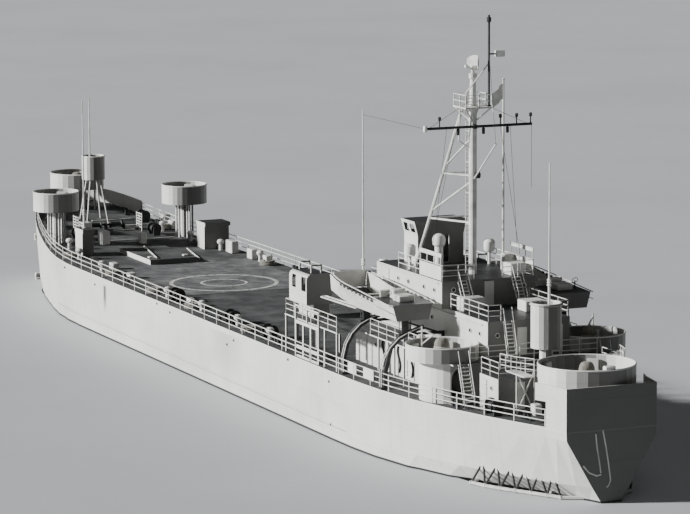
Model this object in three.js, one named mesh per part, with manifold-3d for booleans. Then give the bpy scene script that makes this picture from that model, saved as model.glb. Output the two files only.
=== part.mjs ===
// Tank landing ship, a scale model at one tenth of full size.
// Millimetres, +X to the bow, +Y to port, +Z up from the underside of the flat keel.
// One metre of the full-size ship is 100 mm here.
import * as THREE from "three";
import { mergeVertices } from "three/addons/utils/BufferGeometryUtils.js";
import Module from "manifold-3d";

const wasm = await Module();
wasm.setup();

// Driving dimensions
const DECK = 767;
const WATERLINE = 315;
const HALF_BEAM = 762;
const BOW = 5000;
const STERN = -4990;
const TOUCH = 0.3;
const PLATE = 9.7;
const RUNNING_GAP = 6;

// Hull stations from stern to bow. Half-breadths: deck, knee, side (at LEDGE), low (above the bilge).
// Heights: keel is the bottom, bilge the radius of the turn, deck the top of the main deck.
const KNEE = 710;
const LEDGE = 415;
const STATIONS = [
  { x: STERN, deck: 303, knee: 300, side: 128, low: 62, keel: 290, bilge: 20, top: 767 },
  { x: -4890, deck: 323, knee: 318, side: 190, low: 95, keel: 282, bilge: 24, top: 767 },
  { x: -4780, deck: 342, knee: 335, side: 252, low: 130, keel: 272, bilge: 28, top: 767 },
  { x: -4600, deck: 410, knee: 400, side: 342, low: 190, keel: 256, bilge: 34, top: 767 },
  { x: -4350, deck: 500, knee: 492, side: 452, low: 285, keel: 226, bilge: 44, top: 767 },
  { x: -4050, deck: 590, knee: 586, side: 560, low: 410, keel: 176, bilge: 60, top: 767 },
  { x: -3650, deck: 685, knee: 684, side: 672, low: 570, keel: 98, bilge: 70, top: 767 },
  { x: -3250, deck: 738, knee: 738, side: 734, low: 692, keel: 26, bilge: 66, top: 767 },
  { x: -2900, deck: 758, knee: 758, side: 757, low: 745, keel: 0, bilge: 62, top: 767 },
  { x: -2500, deck: HALF_BEAM, knee: HALF_BEAM, side: HALF_BEAM, low: 762, keel: 0, bilge: 60, top: 767 },
  { x: 2500, deck: HALF_BEAM, knee: HALF_BEAM, side: HALF_BEAM, low: 762, keel: 0, bilge: 60, top: 767 },
  { x: 2800, deck: 757, knee: 757, side: 755, low: 745, keel: 0, bilge: 60, top: 767 },
  { x: 3100, deck: 738, knee: 737, side: 730, low: 705, keel: 6, bilge: 60, top: 773 },
  { x: 3400, deck: 694, knee: 690, side: 680, low: 640, keel: 18, bilge: 60, top: 784 },
  { x: 3700, deck: 638, knee: 632, side: 618, low: 570, keel: 38, bilge: 60, top: 803 },
  { x: 4000, deck: 576, knee: 568, side: 552, low: 500, keel: 60, bilge: 58, top: 832 },
  { x: 4250, deck: 517, knee: 508, side: 488, low: 430, keel: 80, bilge: 54, top: 864 },
  { x: 4450, deck: 460, knee: 450, side: 428, low: 365, keel: 96, bilge: 50, top: 894 },
  { x: 4530, deck: 432, knee: 422, side: 398, low: 333, keel: 104, bilge: 47, top: 907 },
  { x: 4650, deck: 385, knee: 374, side: 348, low: 280, keel: 114, bilge: 43, top: 926 },
  { x: 4780, deck: 322, knee: 310, side: 282, low: 210, keel: 128, bilge: 36, top: 946 },
  { x: 4880, deck: 248, knee: 236, side: 210, low: 145, keel: 142, bilge: 28, top: 961 },
  { x: 4950, deck: 165, knee: 154, side: 130, low: 85, keel: 155, bilge: 20, top: 972 },
  { x: BOW, deck: 40, knee: 34, side: 28, low: 16, keel: 172, bilge: 6, top: 980 },
];

// Bow: doors hinged at their after edges, ramp hinged at the sill, one well behind them
const DOOR = { hingeX: 4533, hingeY: 438, aft: 4530, top: 850, wall: 30, gap: RUNNING_GAP, split: 3 };
const DOOR_HINGE = { heights: [410, 740], barrel: 7, half: 15, lug: 12 };
const SILL = { aft: 4500, aftZ: 262, fore: 5050, foreZ: 186 };
const RAMP = { x: 4480, z: 295, length: 570, half: 220, thick: 20 };
const MOUTH = { half: 213, low: 285, high: 757 };
const WELL_TOP = 872;
const TANK_DECK = { aft: -3800, fore: 3950, half: 455, floor: 285 };

// Screws, rudders and what carries them
const SCREW = { x: -4445, y: 230, z: 115, radius: 106, hub: 17, blades: 3 };
const SHAFT = { radius: 12, bore: 12.8, fore: -3935, boss: 26 };
const RUDDER = { x: -4650, y: 230, low: 16, high: 236, fore: 70, aft: 150, half: 9, stock: 12, bore: 12.7 };

// Decks and houses
const BOAT_DECK = { z: DECK + 250, thick: 8, wing: -1650, fore: -1840, step: -2540, aft: -3950,
  wingInner: 500, wide: 735, narrow: 560 };
const DECK_HOUSE = { fore: -2150, aft: -3850, half: 430 };
const UPPER_HOUSE = { fore: -2050, aft: -3870, half: 285, top: DECK + 495 };
const BRIDGE_HOUSE = { fore: -2270, aft: -3290, half: 330, top: DECK + 670 };
const CONNING = { fore: -2345, aft: -2560, half: 165, top: DECK + 958, wall: 8, flare: 25 };
const CABIN = { fore: -1660, aft: -1960, inner: 520, outer: 705, floor: DECK + 352, top: DECK + 560,
  wall: 7, round: 42 };
const AFT_HOUSE = { fore: -4050, aft: -4310, half: 425, top: DECK + 217 };
const HATCH = { aft: 2450, fore: 3130, half: 180, coaming: 30, wall: 10 };
const VENT_TRUNKS = [
  { side: "port", s: 1, fore: 3225, aft: 3060, inner: 440, outer: 535 },
  { side: "stbd", s: -1, fore: 3190, aft: 3025, inner: 490, outer: 702 },
];
const TRUNK_TOP = { z: DECK + 215, hood: 24, lip: 4, cap: 6 };

// Mast
const POLE = { x: -3050, radius: 26 };
const LEG = { footX: -2593, footY: 198, headX: -2997, headY: 43, radius: 11 };
const PLATFORM = { z: DECK + 1745, half: 95, thick: 10, rail: 90 };
const YARD = { x: POLE.x - 30, z: DECK + 1625, port: 350, stbd: 405, radius: 9 };
const TOPMAST = { x: -3120, y: -80, radius: 8, top: DECK + 2340, arm: DECK + 2090 };

const paint = (color, roughness = 0.7, metalness = 0.1) =>
  new THREE.MeshStandardMaterial({ color, roughness, metalness });
const HULL_GREY = paint(0xd6d6d2);
const DECK_GREY = paint(0x5a5c5e, 0.85);
const HOUSE_GREY = paint(0xc4c4c0);
const DARK_PAINT = paint(0x2a2b2c);
const BRONZE = paint(0xa8834a, 0.35, 0.9);
const CANVAS = paint(0x8b8778, 0.95, 0);

// Shape helpers: each gives a closed geometry in the ship's frame

// Merges vertices, drops empty triangles and turns the faces outwards.
function closed(geometry) {
  const bare = new THREE.BufferGeometry();
  bare.setAttribute("position", geometry.getAttribute("position").clone());
  if (geometry.index) bare.setIndex(geometry.index.clone());
  const merged = mergeVertices(bare, 1e-3);
  const p = merged.getAttribute("position").array;
  const index = merged.index.array;
  const kept = [];
  let volume = 0;
  for (let i = 0; i < index.length; i += 3) {
    const [a, b, c] = [index[i], index[i + 1], index[i + 2]];
    if (a === b || b === c || a === c) continue;
    kept.push(a, b, c);
    const [ax, ay, az] = p.slice(3 * a, 3 * a + 3);
    const [bx, by, bz] = p.slice(3 * b, 3 * b + 3);
    const [cx, cy, cz] = p.slice(3 * c, 3 * c + 3);
    volume += ax * (by * cz - bz * cy) + ay * (bz * cx - bx * cz) + az * (bx * cy - by * cx);
  }
  if (volume < 0) {
    for (let i = 0; i < kept.length; i += 3) [kept[i], kept[i + 1]] = [kept[i + 1], kept[i]];
  }
  merged.setIndex(kept);
  return merged;
}

function toSolid(geometry) {
  const g = closed(geometry);
  return new wasm.Manifold(new wasm.Mesh({
    numProp: 3,
    vertProperties: new Float32Array(g.getAttribute("position").array),
    triVerts: new Uint32Array(g.index.array),
  }));
}

function fromSolid(solid) {
  const mesh = solid.getMesh();
  const g = new THREE.BufferGeometry();
  g.setAttribute("position", new THREE.BufferAttribute(new Float32Array(mesh.vertProperties), 3));
  g.setIndex(new THREE.BufferAttribute(new Uint32Array(mesh.triVerts), 1));
  return g;
}

const join = (...shapes) => fromSolid(shapes.map(toSolid).reduce((a, b) => a.add(b)));
const cut = (shape, ...tools) => fromSolid(tools.map(toSolid).reduce((a, b) => a.subtract(b),
  toSolid(shape)));
const common = (a, b) => fromSolid(toSolid(a).intersect(toSolid(b)));

function box(x0, x1, y0, y1, z0, z1) {
  const g = new THREE.BoxGeometry(Math.abs(x1 - x0), Math.abs(y1 - y0), Math.abs(z1 - z0));
  return g.translate((x0 + x1) / 2, (y0 + y1) / 2, (z0 + z1) / 2);
}

// A straight bar of round section from one point to another.
function bar(from, to, radius, sides = 8) {
  const a = new THREE.Vector3(...from);
  const b = new THREE.Vector3(...to);
  const along = b.clone().sub(a);
  const g = new THREE.CylinderGeometry(radius, radius, along.length(), sides);
  const turn = new THREE.Quaternion().setFromUnitVectors(new THREE.Vector3(0, 1, 0), along.normalize());
  return g.applyQuaternion(turn).translate((a.x + b.x) / 2, (a.y + b.y) / 2, (a.z + b.z) / 2);
}

// A profile of [radius, height] turned about the vertical line through x, y.
function turned(profile, x, y, sides = 24) {
  const g = new THREE.LatheGeometry(profile.map(([r, z]) => new THREE.Vector2(r, z)), sides);
  return g.rotateX(Math.PI / 2).translate(x, y, 0);
}

// An outline in X and Z carried across from one Y to the other.
function sideProfile(outline, y0, y1) {
  const shape = new THREE.Shape(outline.map(([x, z]) => new THREE.Vector2(x, z)));
  const g = new THREE.ExtrudeGeometry(shape, { depth: y1 - y0, bevelEnabled: false });
  return g.rotateX(Math.PI / 2).translate(0, y1, 0);
}

// An outline in X and Y carried up from one height to the other.
function planProfile(outline, z0, z1, holes = []) {
  const shape = new THREE.Shape(outline.map(([x, y]) => new THREE.Vector2(x, y)));
  for (const hole of holes) shape.holes.push(new THREE.Path(hole.map(([x, y]) => new THREE.Vector2(x, y))));
  return new THREE.ExtrudeGeometry(shape, { depth: z1 - z0, bevelEnabled: false }).translate(0, 0, z0);
}

// An outline in Y and Z carried along from one X to the other.
function endProfile(outline, x0, x1) {
  const shape = new THREE.Shape(outline.map(([y, z]) => new THREE.Vector2(y, z)));
  const g = new THREE.ExtrudeGeometry(shape, { depth: x1 - x0, bevelEnabled: false });
  const stand = new THREE.Matrix4().makeBasis(
    new THREE.Vector3(0, 1, 0), new THREE.Vector3(0, 0, 1), new THREE.Vector3(1, 0, 0));
  return g.applyMatrix4(stand).translate(x0, 0, 0);
}

const mirror = (geometry) => closed(geometry.clone().scale(1, -1, 1));

// Joins rings that lie in planes of constant X, and closes both ends.
function loft(given) {
  const flat = given[0].map(([, y, z]) => new THREE.Vector2(y, z));
  const rings = THREE.ShapeUtils.area(flat) > 0 ? given : given.map((ring) => [...ring].reverse());
  const count = rings[0].length;
  const vertices = rings.flat(2);
  const faces = [];
  for (let i = 0; i + 1 < rings.length; i += 1) {
    for (let j = 0; j < count; j += 1) {
      const a = i * count + j;
      const b = i * count + ((j + 1) % count);
      faces.push(a, b, a + count, b, b + count, a + count);
    }
  }
  for (const [start, flip] of [[0, true], [(rings.length - 1) * count, false]]) {
    const outline = rings[start / count].map(([, y, z]) => new THREE.Vector2(y, z));
    for (const [a, b, c] of THREE.ShapeUtils.triangulateShape(outline, [])) {
      faces.push(...(flip ? [start + b, start + a, start + c] : [start + a, start + b, start + c]));
    }
  }
  const g = new THREE.BufferGeometry();
  g.setAttribute("position", new THREE.Float32BufferAttribute(vertices, 3));
  g.setIndex(faces);
  return g;
}

// The hull's breadths and heights at any X, straight between stations.
function station(x) {
  let i = 1;
  while (i < STATIONS.length - 1 && STATIONS[i].x < x) i += 1;
  const [a, b] = [STATIONS[i - 1], STATIONS[i]];
  const t = (x - a.x) / (b.x - a.x);
  const mixed = { x };
  for (const key of ["deck", "knee", "side", "low", "keel", "bilge",
    "top"]) mixed[key] = a[key] + (b[key] - a[key]) * t;
  return mixed;
}

// The hull's half-breadth at any X and a height between the bilge and the knee.
function halfAt(x, z) {
  const s = station(x);
  const foot = s.keel + s.bilge;
  if (z > LEDGE) return s.side + ((s.knee - s.side) * (z - LEDGE)) / (KNEE - LEDGE);
  return s.low + ((s.side - s.low) * Math.max(z - foot, 0)) / (LEDGE - foot);
}

// One hull section, drawn in by inset and moved along by shift, from keel to top.
function hullRing(s, top, inset = 0, shift = 0) {
  const half = [];
  const arc = 3;
  half.push([s.low - inset - s.bilge * 0.9, s.keel]);
  for (let k = 1; k < arc; k += 1) {
    const angle = (k / arc) * (Math.PI / 2);
    half.push([
      s.low - inset - s.bilge * 0.9 + s.bilge * 0.9 * Math.sin(angle),
      s.keel + s.bilge * (1 - Math.cos(angle)),
    ]);
  }
  half.push([s.low - inset, s.keel + s.bilge]);
  half.push([s.side - inset, LEDGE]);
  half.push([s.knee - inset, KNEE]);
  half.push([s.deck - inset, top]);
  const safe = half.map(([y, z]) => [Math.max(y, 2), z]);
  const port = safe.map(([y, z]) => [s.x + shift, y, z]);
  const stbd = safe.map(([y, z]) => [s.x + shift, -y, z]).reverse();
  return [...port, ...stbd];
}

// A band that follows the deck's outline and sheer, between two heights above the deck.
function deckBand(x0, x1, under, over, inset = 0) {
  const xs = [x0, ...STATIONS.map((s) => s.x).filter((x) => x > x0 && x < x1), x1];
  return loft(xs.map((x) => {
    const s = station(x);
    const y = Math.max(s.deck - inset, 2);
    return [[x, y, s.top + under], [x, y, s.top + over], [x, -y, s.top + over], [x, -y, s.top + under]];
  }));
}

const ship = new THREE.Group();
function add(name, geometry, material) {
  const mesh = new THREE.Mesh(closed(geometry), material);
  mesh.name = name;
  ship.add(mesh);
}
const SIDES = [["port", 1], ["stbd", -1]];

// Hull
function outerHull() {
  return loft(STATIONS.map((s) => hullRing(s, s.top - PLATE - TOUCH)));
}

function bowRegion(gap, split) {
  const { aft, top } = DOOR;
  const slope = (SILL.foreZ - SILL.aftZ) / (SILL.fore - SILL.aft);
  const sillAt = (x) => SILL.aftZ + slope * (x - SILL.aft);
  const x0 = aft + gap;
  const outline = [[x0, sillAt(x0) + gap], [SILL.fore, sillAt(SILL.fore) + gap], [SILL.fore,
    top - gap], [x0, top - gap]];
  return split === undefined
    ? sideProfile(outline, -HALF_BEAM, HALF_BEAM)
    : sideProfile(outline, split, HALF_BEAM);
}

// The room behind the doors, a wall's thickness inside the hull.
function bowWell() {
  const ahead = [station(4450), ...STATIONS.filter((s) => s.x > 4450)];
  const room = loft(ahead.map((s) => hullRing(s, s.top, DOOR.wall - 4, -DOOR.wall)));
  const keep = sideProfile([[SILL.aft - 24, SILL.aftZ], [SILL.aft, SILL.aftZ], [SILL.fore, SILL.foreZ],
    [SILL.fore, WELL_TOP], [SILL.aft - 24, WELL_TOP]], -HALF_BEAM, HALF_BEAM);
  return common(room, keep);
}

function tankDeckRoom() {
  const { aft, fore, half, floor } = TANK_DECK;
  const mouthX = 4300;
  const wide = planProfile([[aft, -half], [fore, -half], [fore, half], [aft, half]], floor, DECK + 100);
  const neck = planProfile([[fore - 1, -half], [mouthX, -MOUTH.half], [RAMP.x + 2, -MOUTH.half],
    [RAMP.x + 2, MOUTH.half], [mouthX, MOUTH.half], [fore - 1, half]], floor, MOUTH.high);
  return join(wide, neck);
}

function buildHull() {
  const ledge = (s) => box(-2500, 2850, s * 740, s * 770, LEDGE - 8, LEDGE + 8);
  const skeg = sideProfile([[-2950, 0], [-4250, 0], [-4300, 40], [-4300, 240], [-2950, 40]], -10, 10);
  const bosses = SIDES.map(([, s]) => bar([SHAFT.fore - 50, s * SCREW.y, SCREW.z], [-3600, s * SCREW.y,
    SCREW.z], SHAFT.boss, 12));
  const struts = SIDES.flatMap(([, s]) => [
    bar([-4412, s * SCREW.y, SCREW.z], [-4360, s * SCREW.y, SCREW.z], SHAFT.boss, 12),
    bar([-4397, s * (SCREW.y - 8), SCREW.z + 14], [-4385, s * (SCREW.y - 70), 250], 9, 6),
    bar([-4397, s * (SCREW.y + 8), SCREW.z + 14], [-4385, s * (SCREW.y + 45), 260], 9, 6),
  ]);
  const trunks = SIDES.map(([, s]) => bar([RUDDER.x, s * RUDDER.y, RUDDER.high + 8], [RUDDER.x,
    s * RUDDER.y, 345], 22, 12));
  const body = join(outerHull(), ledge(1), ledge(-1), skeg, ...bosses, ...struts, ...trunks);
  const lugs = SIDES.flatMap(([, s]) => [...doorLugs(s), rampLug(s)]);
  const bores = SIDES.flatMap(([, s]) => [
    bar([-4440, s * SCREW.y, SCREW.z], [SHAFT.fore + 2, s * SCREW.y, SCREW.z], SHAFT.bore, 12),
    bar([RUDDER.x, s * RUDDER.y, RUDDER.high], [RUDDER.x, s * RUDDER.y, 290], RUDDER.bore, 12),
  ]);
  return join(cut(body, bowRegion(0), bowWell(), tankDeckRoom(), ...bores), ...lugs);
}

// Fixed lugs above and below each door hinge barrel, from the shell out to the hinge line.
function doorLugs(s) {
  const { hingeX, hingeY, aft } = DOOR;
  const { heights, half, lug } = DOOR_HINGE;
  return heights.flatMap((zc) => [[zc - half - lug, zc - half - TOUCH], [zc + half + TOUCH,
    zc + half + lug]].map(([z0, z1]) => join(
    box(aft - 26, aft, s * (hingeY - 66), s * (hingeY + 7), z0, z1),
    box(aft - 1, hingeX + 6, s * (hingeY - 5), s * (hingeY + 7), z0, z1))));
}

// The shelf that each end of the ramp's hinge barrel bears against.
function rampLug(s) {
  return box(RAMP.x - 12, RAMP.x + 7, s * (RAMP.half - 20 + TOUCH), s * (RAMP.half - 8), SILL.aftZ - 6,
    RAMP.z - 2);
}
add("hull", buildHull(), HULL_GREY);

// Bow doors and ramp
function buildDoor() {
  const { hingeX, hingeY } = DOOR;
  const shell = cut(common(outerHull(), bowRegion(DOOR.gap, DOOR.split)), bowWell());
  const arms = DOOR_HINGE.heights.flatMap((zc) => [
    bar([hingeX, hingeY, zc - DOOR_HINGE.half], [hingeX, hingeY, zc + DOOR_HINGE.half],
      DOOR_HINGE.barrel, 12),
    box(hingeX + 3, hingeX + 16, hingeY - 54, hingeY + 5, zc - DOOR_HINGE.half + 1, zc + DOOR_HINGE.half - 1),
  ]);
  return join(shell, ...arms);
}
const doorLeaf = buildDoor();
add("bow_door_port", doorLeaf, HULL_GREY);
add("bow_door_stbd", mirror(doorLeaf), HULL_GREY);

function buildRamp() {
  const { x, z, length, half, thick } = RAMP;
  const leaf = box(x + 3, x + thick, -half, half, z + 4, z + length);
  const barrel = bar([x + 10, -half + 20, z], [x + 10, half - 20, z], 8, 12);
  const ribs = [-160, -80, 0, 80, 160].map((y) => box(x + thick - 2, x + thick + 10, y - 5, y + 5,
    z + 30, z + length - 10));
  return join(leaf, barrel, ...ribs);
}
add("bow_ramp", buildRamp(), DARK_PAINT);

// Main deck with its hatch opening
const deckPlate = deckBand(STERN, BOW - 2, -PLATE, 0);
const hatchHole = box(HATCH.aft, HATCH.fore, -HATCH.half, HATCH.half, DECK - 50, DECK + 60);
const lidZ = DECK + HATCH.coaming + TOUCH;
const HATCH_HINGE = { x: HATCH.fore + 22, z: lidZ + 5, radius: 5, at: [-110, 110], half: 14, lug: 7 };
const coaming = cut(
  box(HATCH.aft - HATCH.wall, HATCH.fore + HATCH.wall, -HATCH.half - HATCH.wall, HATCH.half + HATCH.wall,
    DECK - 4, DECK + HATCH.coaming),
  box(HATCH.aft - 20, HATCH.fore + 20, -HATCH.half, HATCH.half, DECK + 60, DECK + 100));
const hatchLugs = HATCH_HINGE.at.flatMap((y) => [-1, 1].map((s) => {
  const { x, z, half, lug } = HATCH_HINGE;
  return box(x - 5, x + 5, y + s * (half + TOUCH), y + s * (half + lug), DECK, z + 2);
}));
add("main_deck", cut(join(deckPlate, coaming, ...hatchLugs), hatchHole), DECK_GREY);

function buildHatchCover() {
  const { x, z, radius, at, half } = HATCH_HINGE;
  const leaf = box(HATCH.aft - 14, HATCH.fore + 14, -HATCH.half - 14, HATCH.half + 14, lidZ, lidZ + 10);
  const arms = at.flatMap((y) => [
    bar([x, y - half, z], [x, y + half, z], radius, 10),
    box(HATCH.fore + 10, x, y - half + 1, y + half - 1, z - 3, z + 3),
  ]);
  return join(leaf, ...arms);
}
add("hatch_cover", buildHatchCover(), DECK_GREY);

// Bulwark round the bow, and the plating that rises to the stern tub
const BULWARK = { aft: 4420, height: 115, plate: 8 };
const bowBulwark = cut(
  deckBand(BULWARK.aft, BOW - 2, TOUCH, BULWARK.height),
  deckBand(BULWARK.aft - 50, BOW - 2 - BULWARK.plate, -20, BULWARK.height + 50, BULWARK.plate));
add("bow_bulwark", bowBulwark, HULL_GREY);
const STERN_TUB = { x: -4660, y: 0, radius: 300, floor: DECK + 222, rim: DECK + 345 };
const STERN_BULWARK = { fore: -4790, foreHigh: -4705, step: 155, height: 260, plate: 8 };
function buildSternPlating() {
  const { fore, foreHigh, step, height, plate } = STERN_BULWARK;
  const whole = join(deckBand(STERN, fore, TOUCH, height), deckBand(STERN, foreHigh, step, height));
  return cut(whole, deckBand(STERN + plate, foreHigh + 50, -20, height + 50, plate));
}
add("stern_plating", buildSternPlating(), HULL_GREY);

// Propellers, shafts, rudders and guards
function screwBlades() {
  const blades = [];
  for (let k = 0; k < SCREW.blades; k += 1) {
    const outline = new THREE.Shape();
    outline.moveTo(-14, 10);
    outline.quadraticCurveTo(-52, SCREW.radius * 0.7, -6, SCREW.radius - 1);
    outline.quadraticCurveTo(44, SCREW.radius * 0.75, 14, 10);
    const g = new THREE.ExtrudeGeometry(outline, { depth: 5, bevelEnabled: false, curveSegments: 4 });
    g.translate(0, 0, -2.5);
    g.rotateY(Math.PI / 2 - 0.55);
    const stand = new THREE.Matrix4().makeBasis(
      new THREE.Vector3(1, 0, 0), new THREE.Vector3(0, 0, 1), new THREE.Vector3(0, -1, 0));
    g.applyMatrix4(stand);
    g.rotateX((k / SCREW.blades) * 2 * Math.PI);
    blades.push(g);
  }
  return blades;
}
for (const [side, s] of SIDES) {
  const hub = bar([22, 0, 0], [-26, 0, 0], SCREW.hub, 12);
  let screw = join(hub, ...screwBlades());
  screw = cut(screw, bar([-16, 0, 0], [60, 0, 0], SHAFT.radius + TOUCH, 12));
  if (s < 0) screw = mirror(screw);
  screw.translate(SCREW.x, s * SCREW.y, SCREW.z);
  add(`propeller_${side}`, screw, BRONZE);
  add(`shaft_${side}`, bar([SCREW.x - 15, s * SCREW.y, SCREW.z], [SHAFT.fore, s * SCREW.y, SCREW.z],
    SHAFT.radius, 12), BRONZE);
}

function buildRudder(s) {
  const { x, low, high, fore, aft, half } = RUDDER;
  const y = s * RUDDER.y;
  const plan = [[x + fore, y], [x + fore * 0.6, y + half * 0.8], [x, y + half], [x - aft, y + 1.5],
    [x - aft, y - 1.5], [x, y - half], [x + fore * 0.6, y - half * 0.8]];
  return join(planProfile(plan, low, high), bar([x, y, high - 20], [x, y, 284], RUDDER.stock, 12));
}
for (const [side, s] of SIDES) add(`rudder_${side}`, buildRudder(s), DARK_PAINT);

// A rail that stands off the hull at the waterline, on struts up to the side.
const GUARD = { z: WATERLINE + 14, radius: 11, brace: 7, knot: 9, apex: 138, inset: 16,
  route: [[-4170, 540], [-4290, 504], [-4400, 456], [-4500, 400], [-4600, 342], [-4700, 284], [-4790, 236]] };
function buildGuard() {
  const { z, radius, brace, knot, apex, inset, route } = GUARD;
  const pieces = route.map(([x, y]) => box(x - knot, x + knot, y - knot, y + knot, z - knot, z + knot));
  for (let i = 0; i + 1 < route.length; i += 1) {
    const [a, b] = [route[i], route[i + 1]];
    const x = (a[0] + b[0]) / 2;
    const top = [x, halfAt(x, z + apex) - inset, z + apex];
    pieces.push(bar([...a, z], [...b, z], radius, 6), bar([...a, z], top, brace, 6), bar([...b, z],
      top, brace, 6));
  }
  for (const [[x, y], step] of [[route[0], 70], [route[route.length - 1], -70]]) {
    pieces.push(bar([x, y, z], [x + step, halfAt(x + step, z) - inset, z], radius, 6));
  }
  return join(...pieces);
}
function outerGuardCut() {
  return loft(STATIONS.filter((s) => s.x < -3000).map((s) => {
    const wider = { ...s, deck: s.deck + TOUCH, knee: s.knee + TOUCH, side: s.side + TOUCH,
      low: s.low + TOUCH };
    return hullRing(wider, s.top);
  }));
}
add("propeller_guard_port", cut(buildGuard(), outerGuardCut()), HULL_GREY);
add("propeller_guard_stbd", cut(mirror(buildGuard()), outerGuardCut()), HULL_GREY);

// Houses: solid blocks, because nothing inside them shows
function house(h, z0) {
  return box(h.aft, h.fore, -h.half, h.half, z0 + TOUCH, h.top);
}
add("deck_house", box(DECK_HOUSE.aft, DECK_HOUSE.fore, -DECK_HOUSE.half, DECK_HOUSE.half,
  DECK + TOUCH, BOAT_DECK.z - TOUCH), HOUSE_GREY);

const TUB_MID = { x: -3690, y: 515, radius: 230 };
// The curved plate that stands under each mid tub, outboard of the deck house, with an arch in its after
// side.
const SKIRT = { y: 455, radius: 198, plate: 8, inner: DECK_HOUSE.half + 2, archHalf: 78, archTop: 232 };
function buildSkirt(s) {
  const { y, radius, plate, inner, archHalf, archTop } = SKIRT;
  const [z0, z1] = [DECK + TOUCH, BOAT_DECK.z + 1];
  const section = [[radius - plate, z0], [radius, z0], [radius, z1], [radius - plate, z1],
    [radius - plate, z0]];
  const wall = turned(section, TUB_MID.x, s * y, 28);
  const arch = [TUB_MID.x - radius - 20, TUB_MID.x - 60];
  const middle = s * y;
  return cut(wall,
    box(TUB_MID.x - 300, TUB_MID.x + 300, s * inner, s * (inner - 400), z0 - 5, z1 + 5),
    box(arch[0], arch[1], middle - archHalf, middle + archHalf, z0 - 5, z0 + archTop - archHalf),
    bar([arch[0], middle, z0 + archTop - archHalf], [arch[1], middle, z0 + archTop - archHalf],
      archHalf, 16));
}

const POSTS_WIDE = [-1664, -1860, -2120, -2330, -2530];
const POSTS_NARROW = [-2800, -3050, -3200, -3440];
function buildBoatDeck() {
  const { z, thick, wing, fore, step, aft, wingInner, wide, narrow } = BOAT_DECK;
  const port = [[fore, wingInner], [wing, wingInner], [wing, wide], [step, wide], [step - 60, narrow],
    [aft, narrow]];
  const outline = [...port, ...port.map(([x, y]) => [x, -y]).reverse()];
  const pieces = [planProfile(outline, z, z + thick)];
  for (const [, s] of SIDES) {
    for (const x of POSTS_WIDE) pieces.push(box(x - 6, x + 6, s * (wide - 12), s * wide, DECK + TOUCH,
      z + 1));
    for (const x of POSTS_NARROW) pieces.push(box(x - 5, x + 5, s * (narrow - 12), s * (narrow - 2),
      DECK + TOUCH, z + 1));
    pieces.push(box(wing - 20, wing - 8, s * wingInner, s * (wingInner + 12), DECK + TOUCH, z + 1));
    pieces.push(buildSkirt(s));
  }
  for (const y of [-420, -140, 140, 420]) pieces.push(box(fore - 22, fore - 10, y - 6, y + 6,
    DECK + TOUCH, z + 1));
  return join(...pieces);
}
add("boat_deck", buildBoatDeck(), DECK_GREY);
const BOAT_DECK_TOP = BOAT_DECK.z + BOAT_DECK.thick;
add("upper_house", house(UPPER_HOUSE, BOAT_DECK_TOP), HOUSE_GREY);
add("bridge_house", house(BRIDGE_HOUSE, UPPER_HOUSE.top), HOUSE_GREY);

// Conning house: hollow, with flared windows round the upper front and sides
function buildConningHouse() {
  const { fore, aft, half, top, wall, flare } = CONNING;
  const z0 = BRIDGE_HOUSE.top + TOUCH;
  const sill = top - 95;
  const walls = (d) => {
    const ring = (x, out) => [[x, half - d + out, top + 1 - (d > 0 ? 12 : 1)], [x, half - d, sill], [x,
      half - d, z0 + (d > 0 ? wall : 0)],
      [x, -half + d, z0 + (d > 0 ? wall : 0)], [x, -half + d, sill], [x, -half + d - out,
        top + 1 - (d > 0 ? 12 : 1)]];
    return loft([ring(aft + d, flare), ring(fore - d, flare)]);
  };
  const windows = [];
  for (const x of [aft + 24, aft + 122]) windows.push(box(x, x + 68, -half - 60, half + 60, sill + 18,
    top - 22));
  for (let i = 0; i < 4; i += 1) {
    const y = -half + 16 + i * 78;
    windows.push(box(fore - 20, fore + 20, y, y + 62, sill + 18, top - 22));
  }
  windows.push(box(aft - 20, aft + 20, -60, -10, z0 + 12, z0 + 190));
  return cut(walls(0), walls(wall), ...windows);
}
add("conning_house", buildConningHouse(), HOUSE_GREY);

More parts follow.
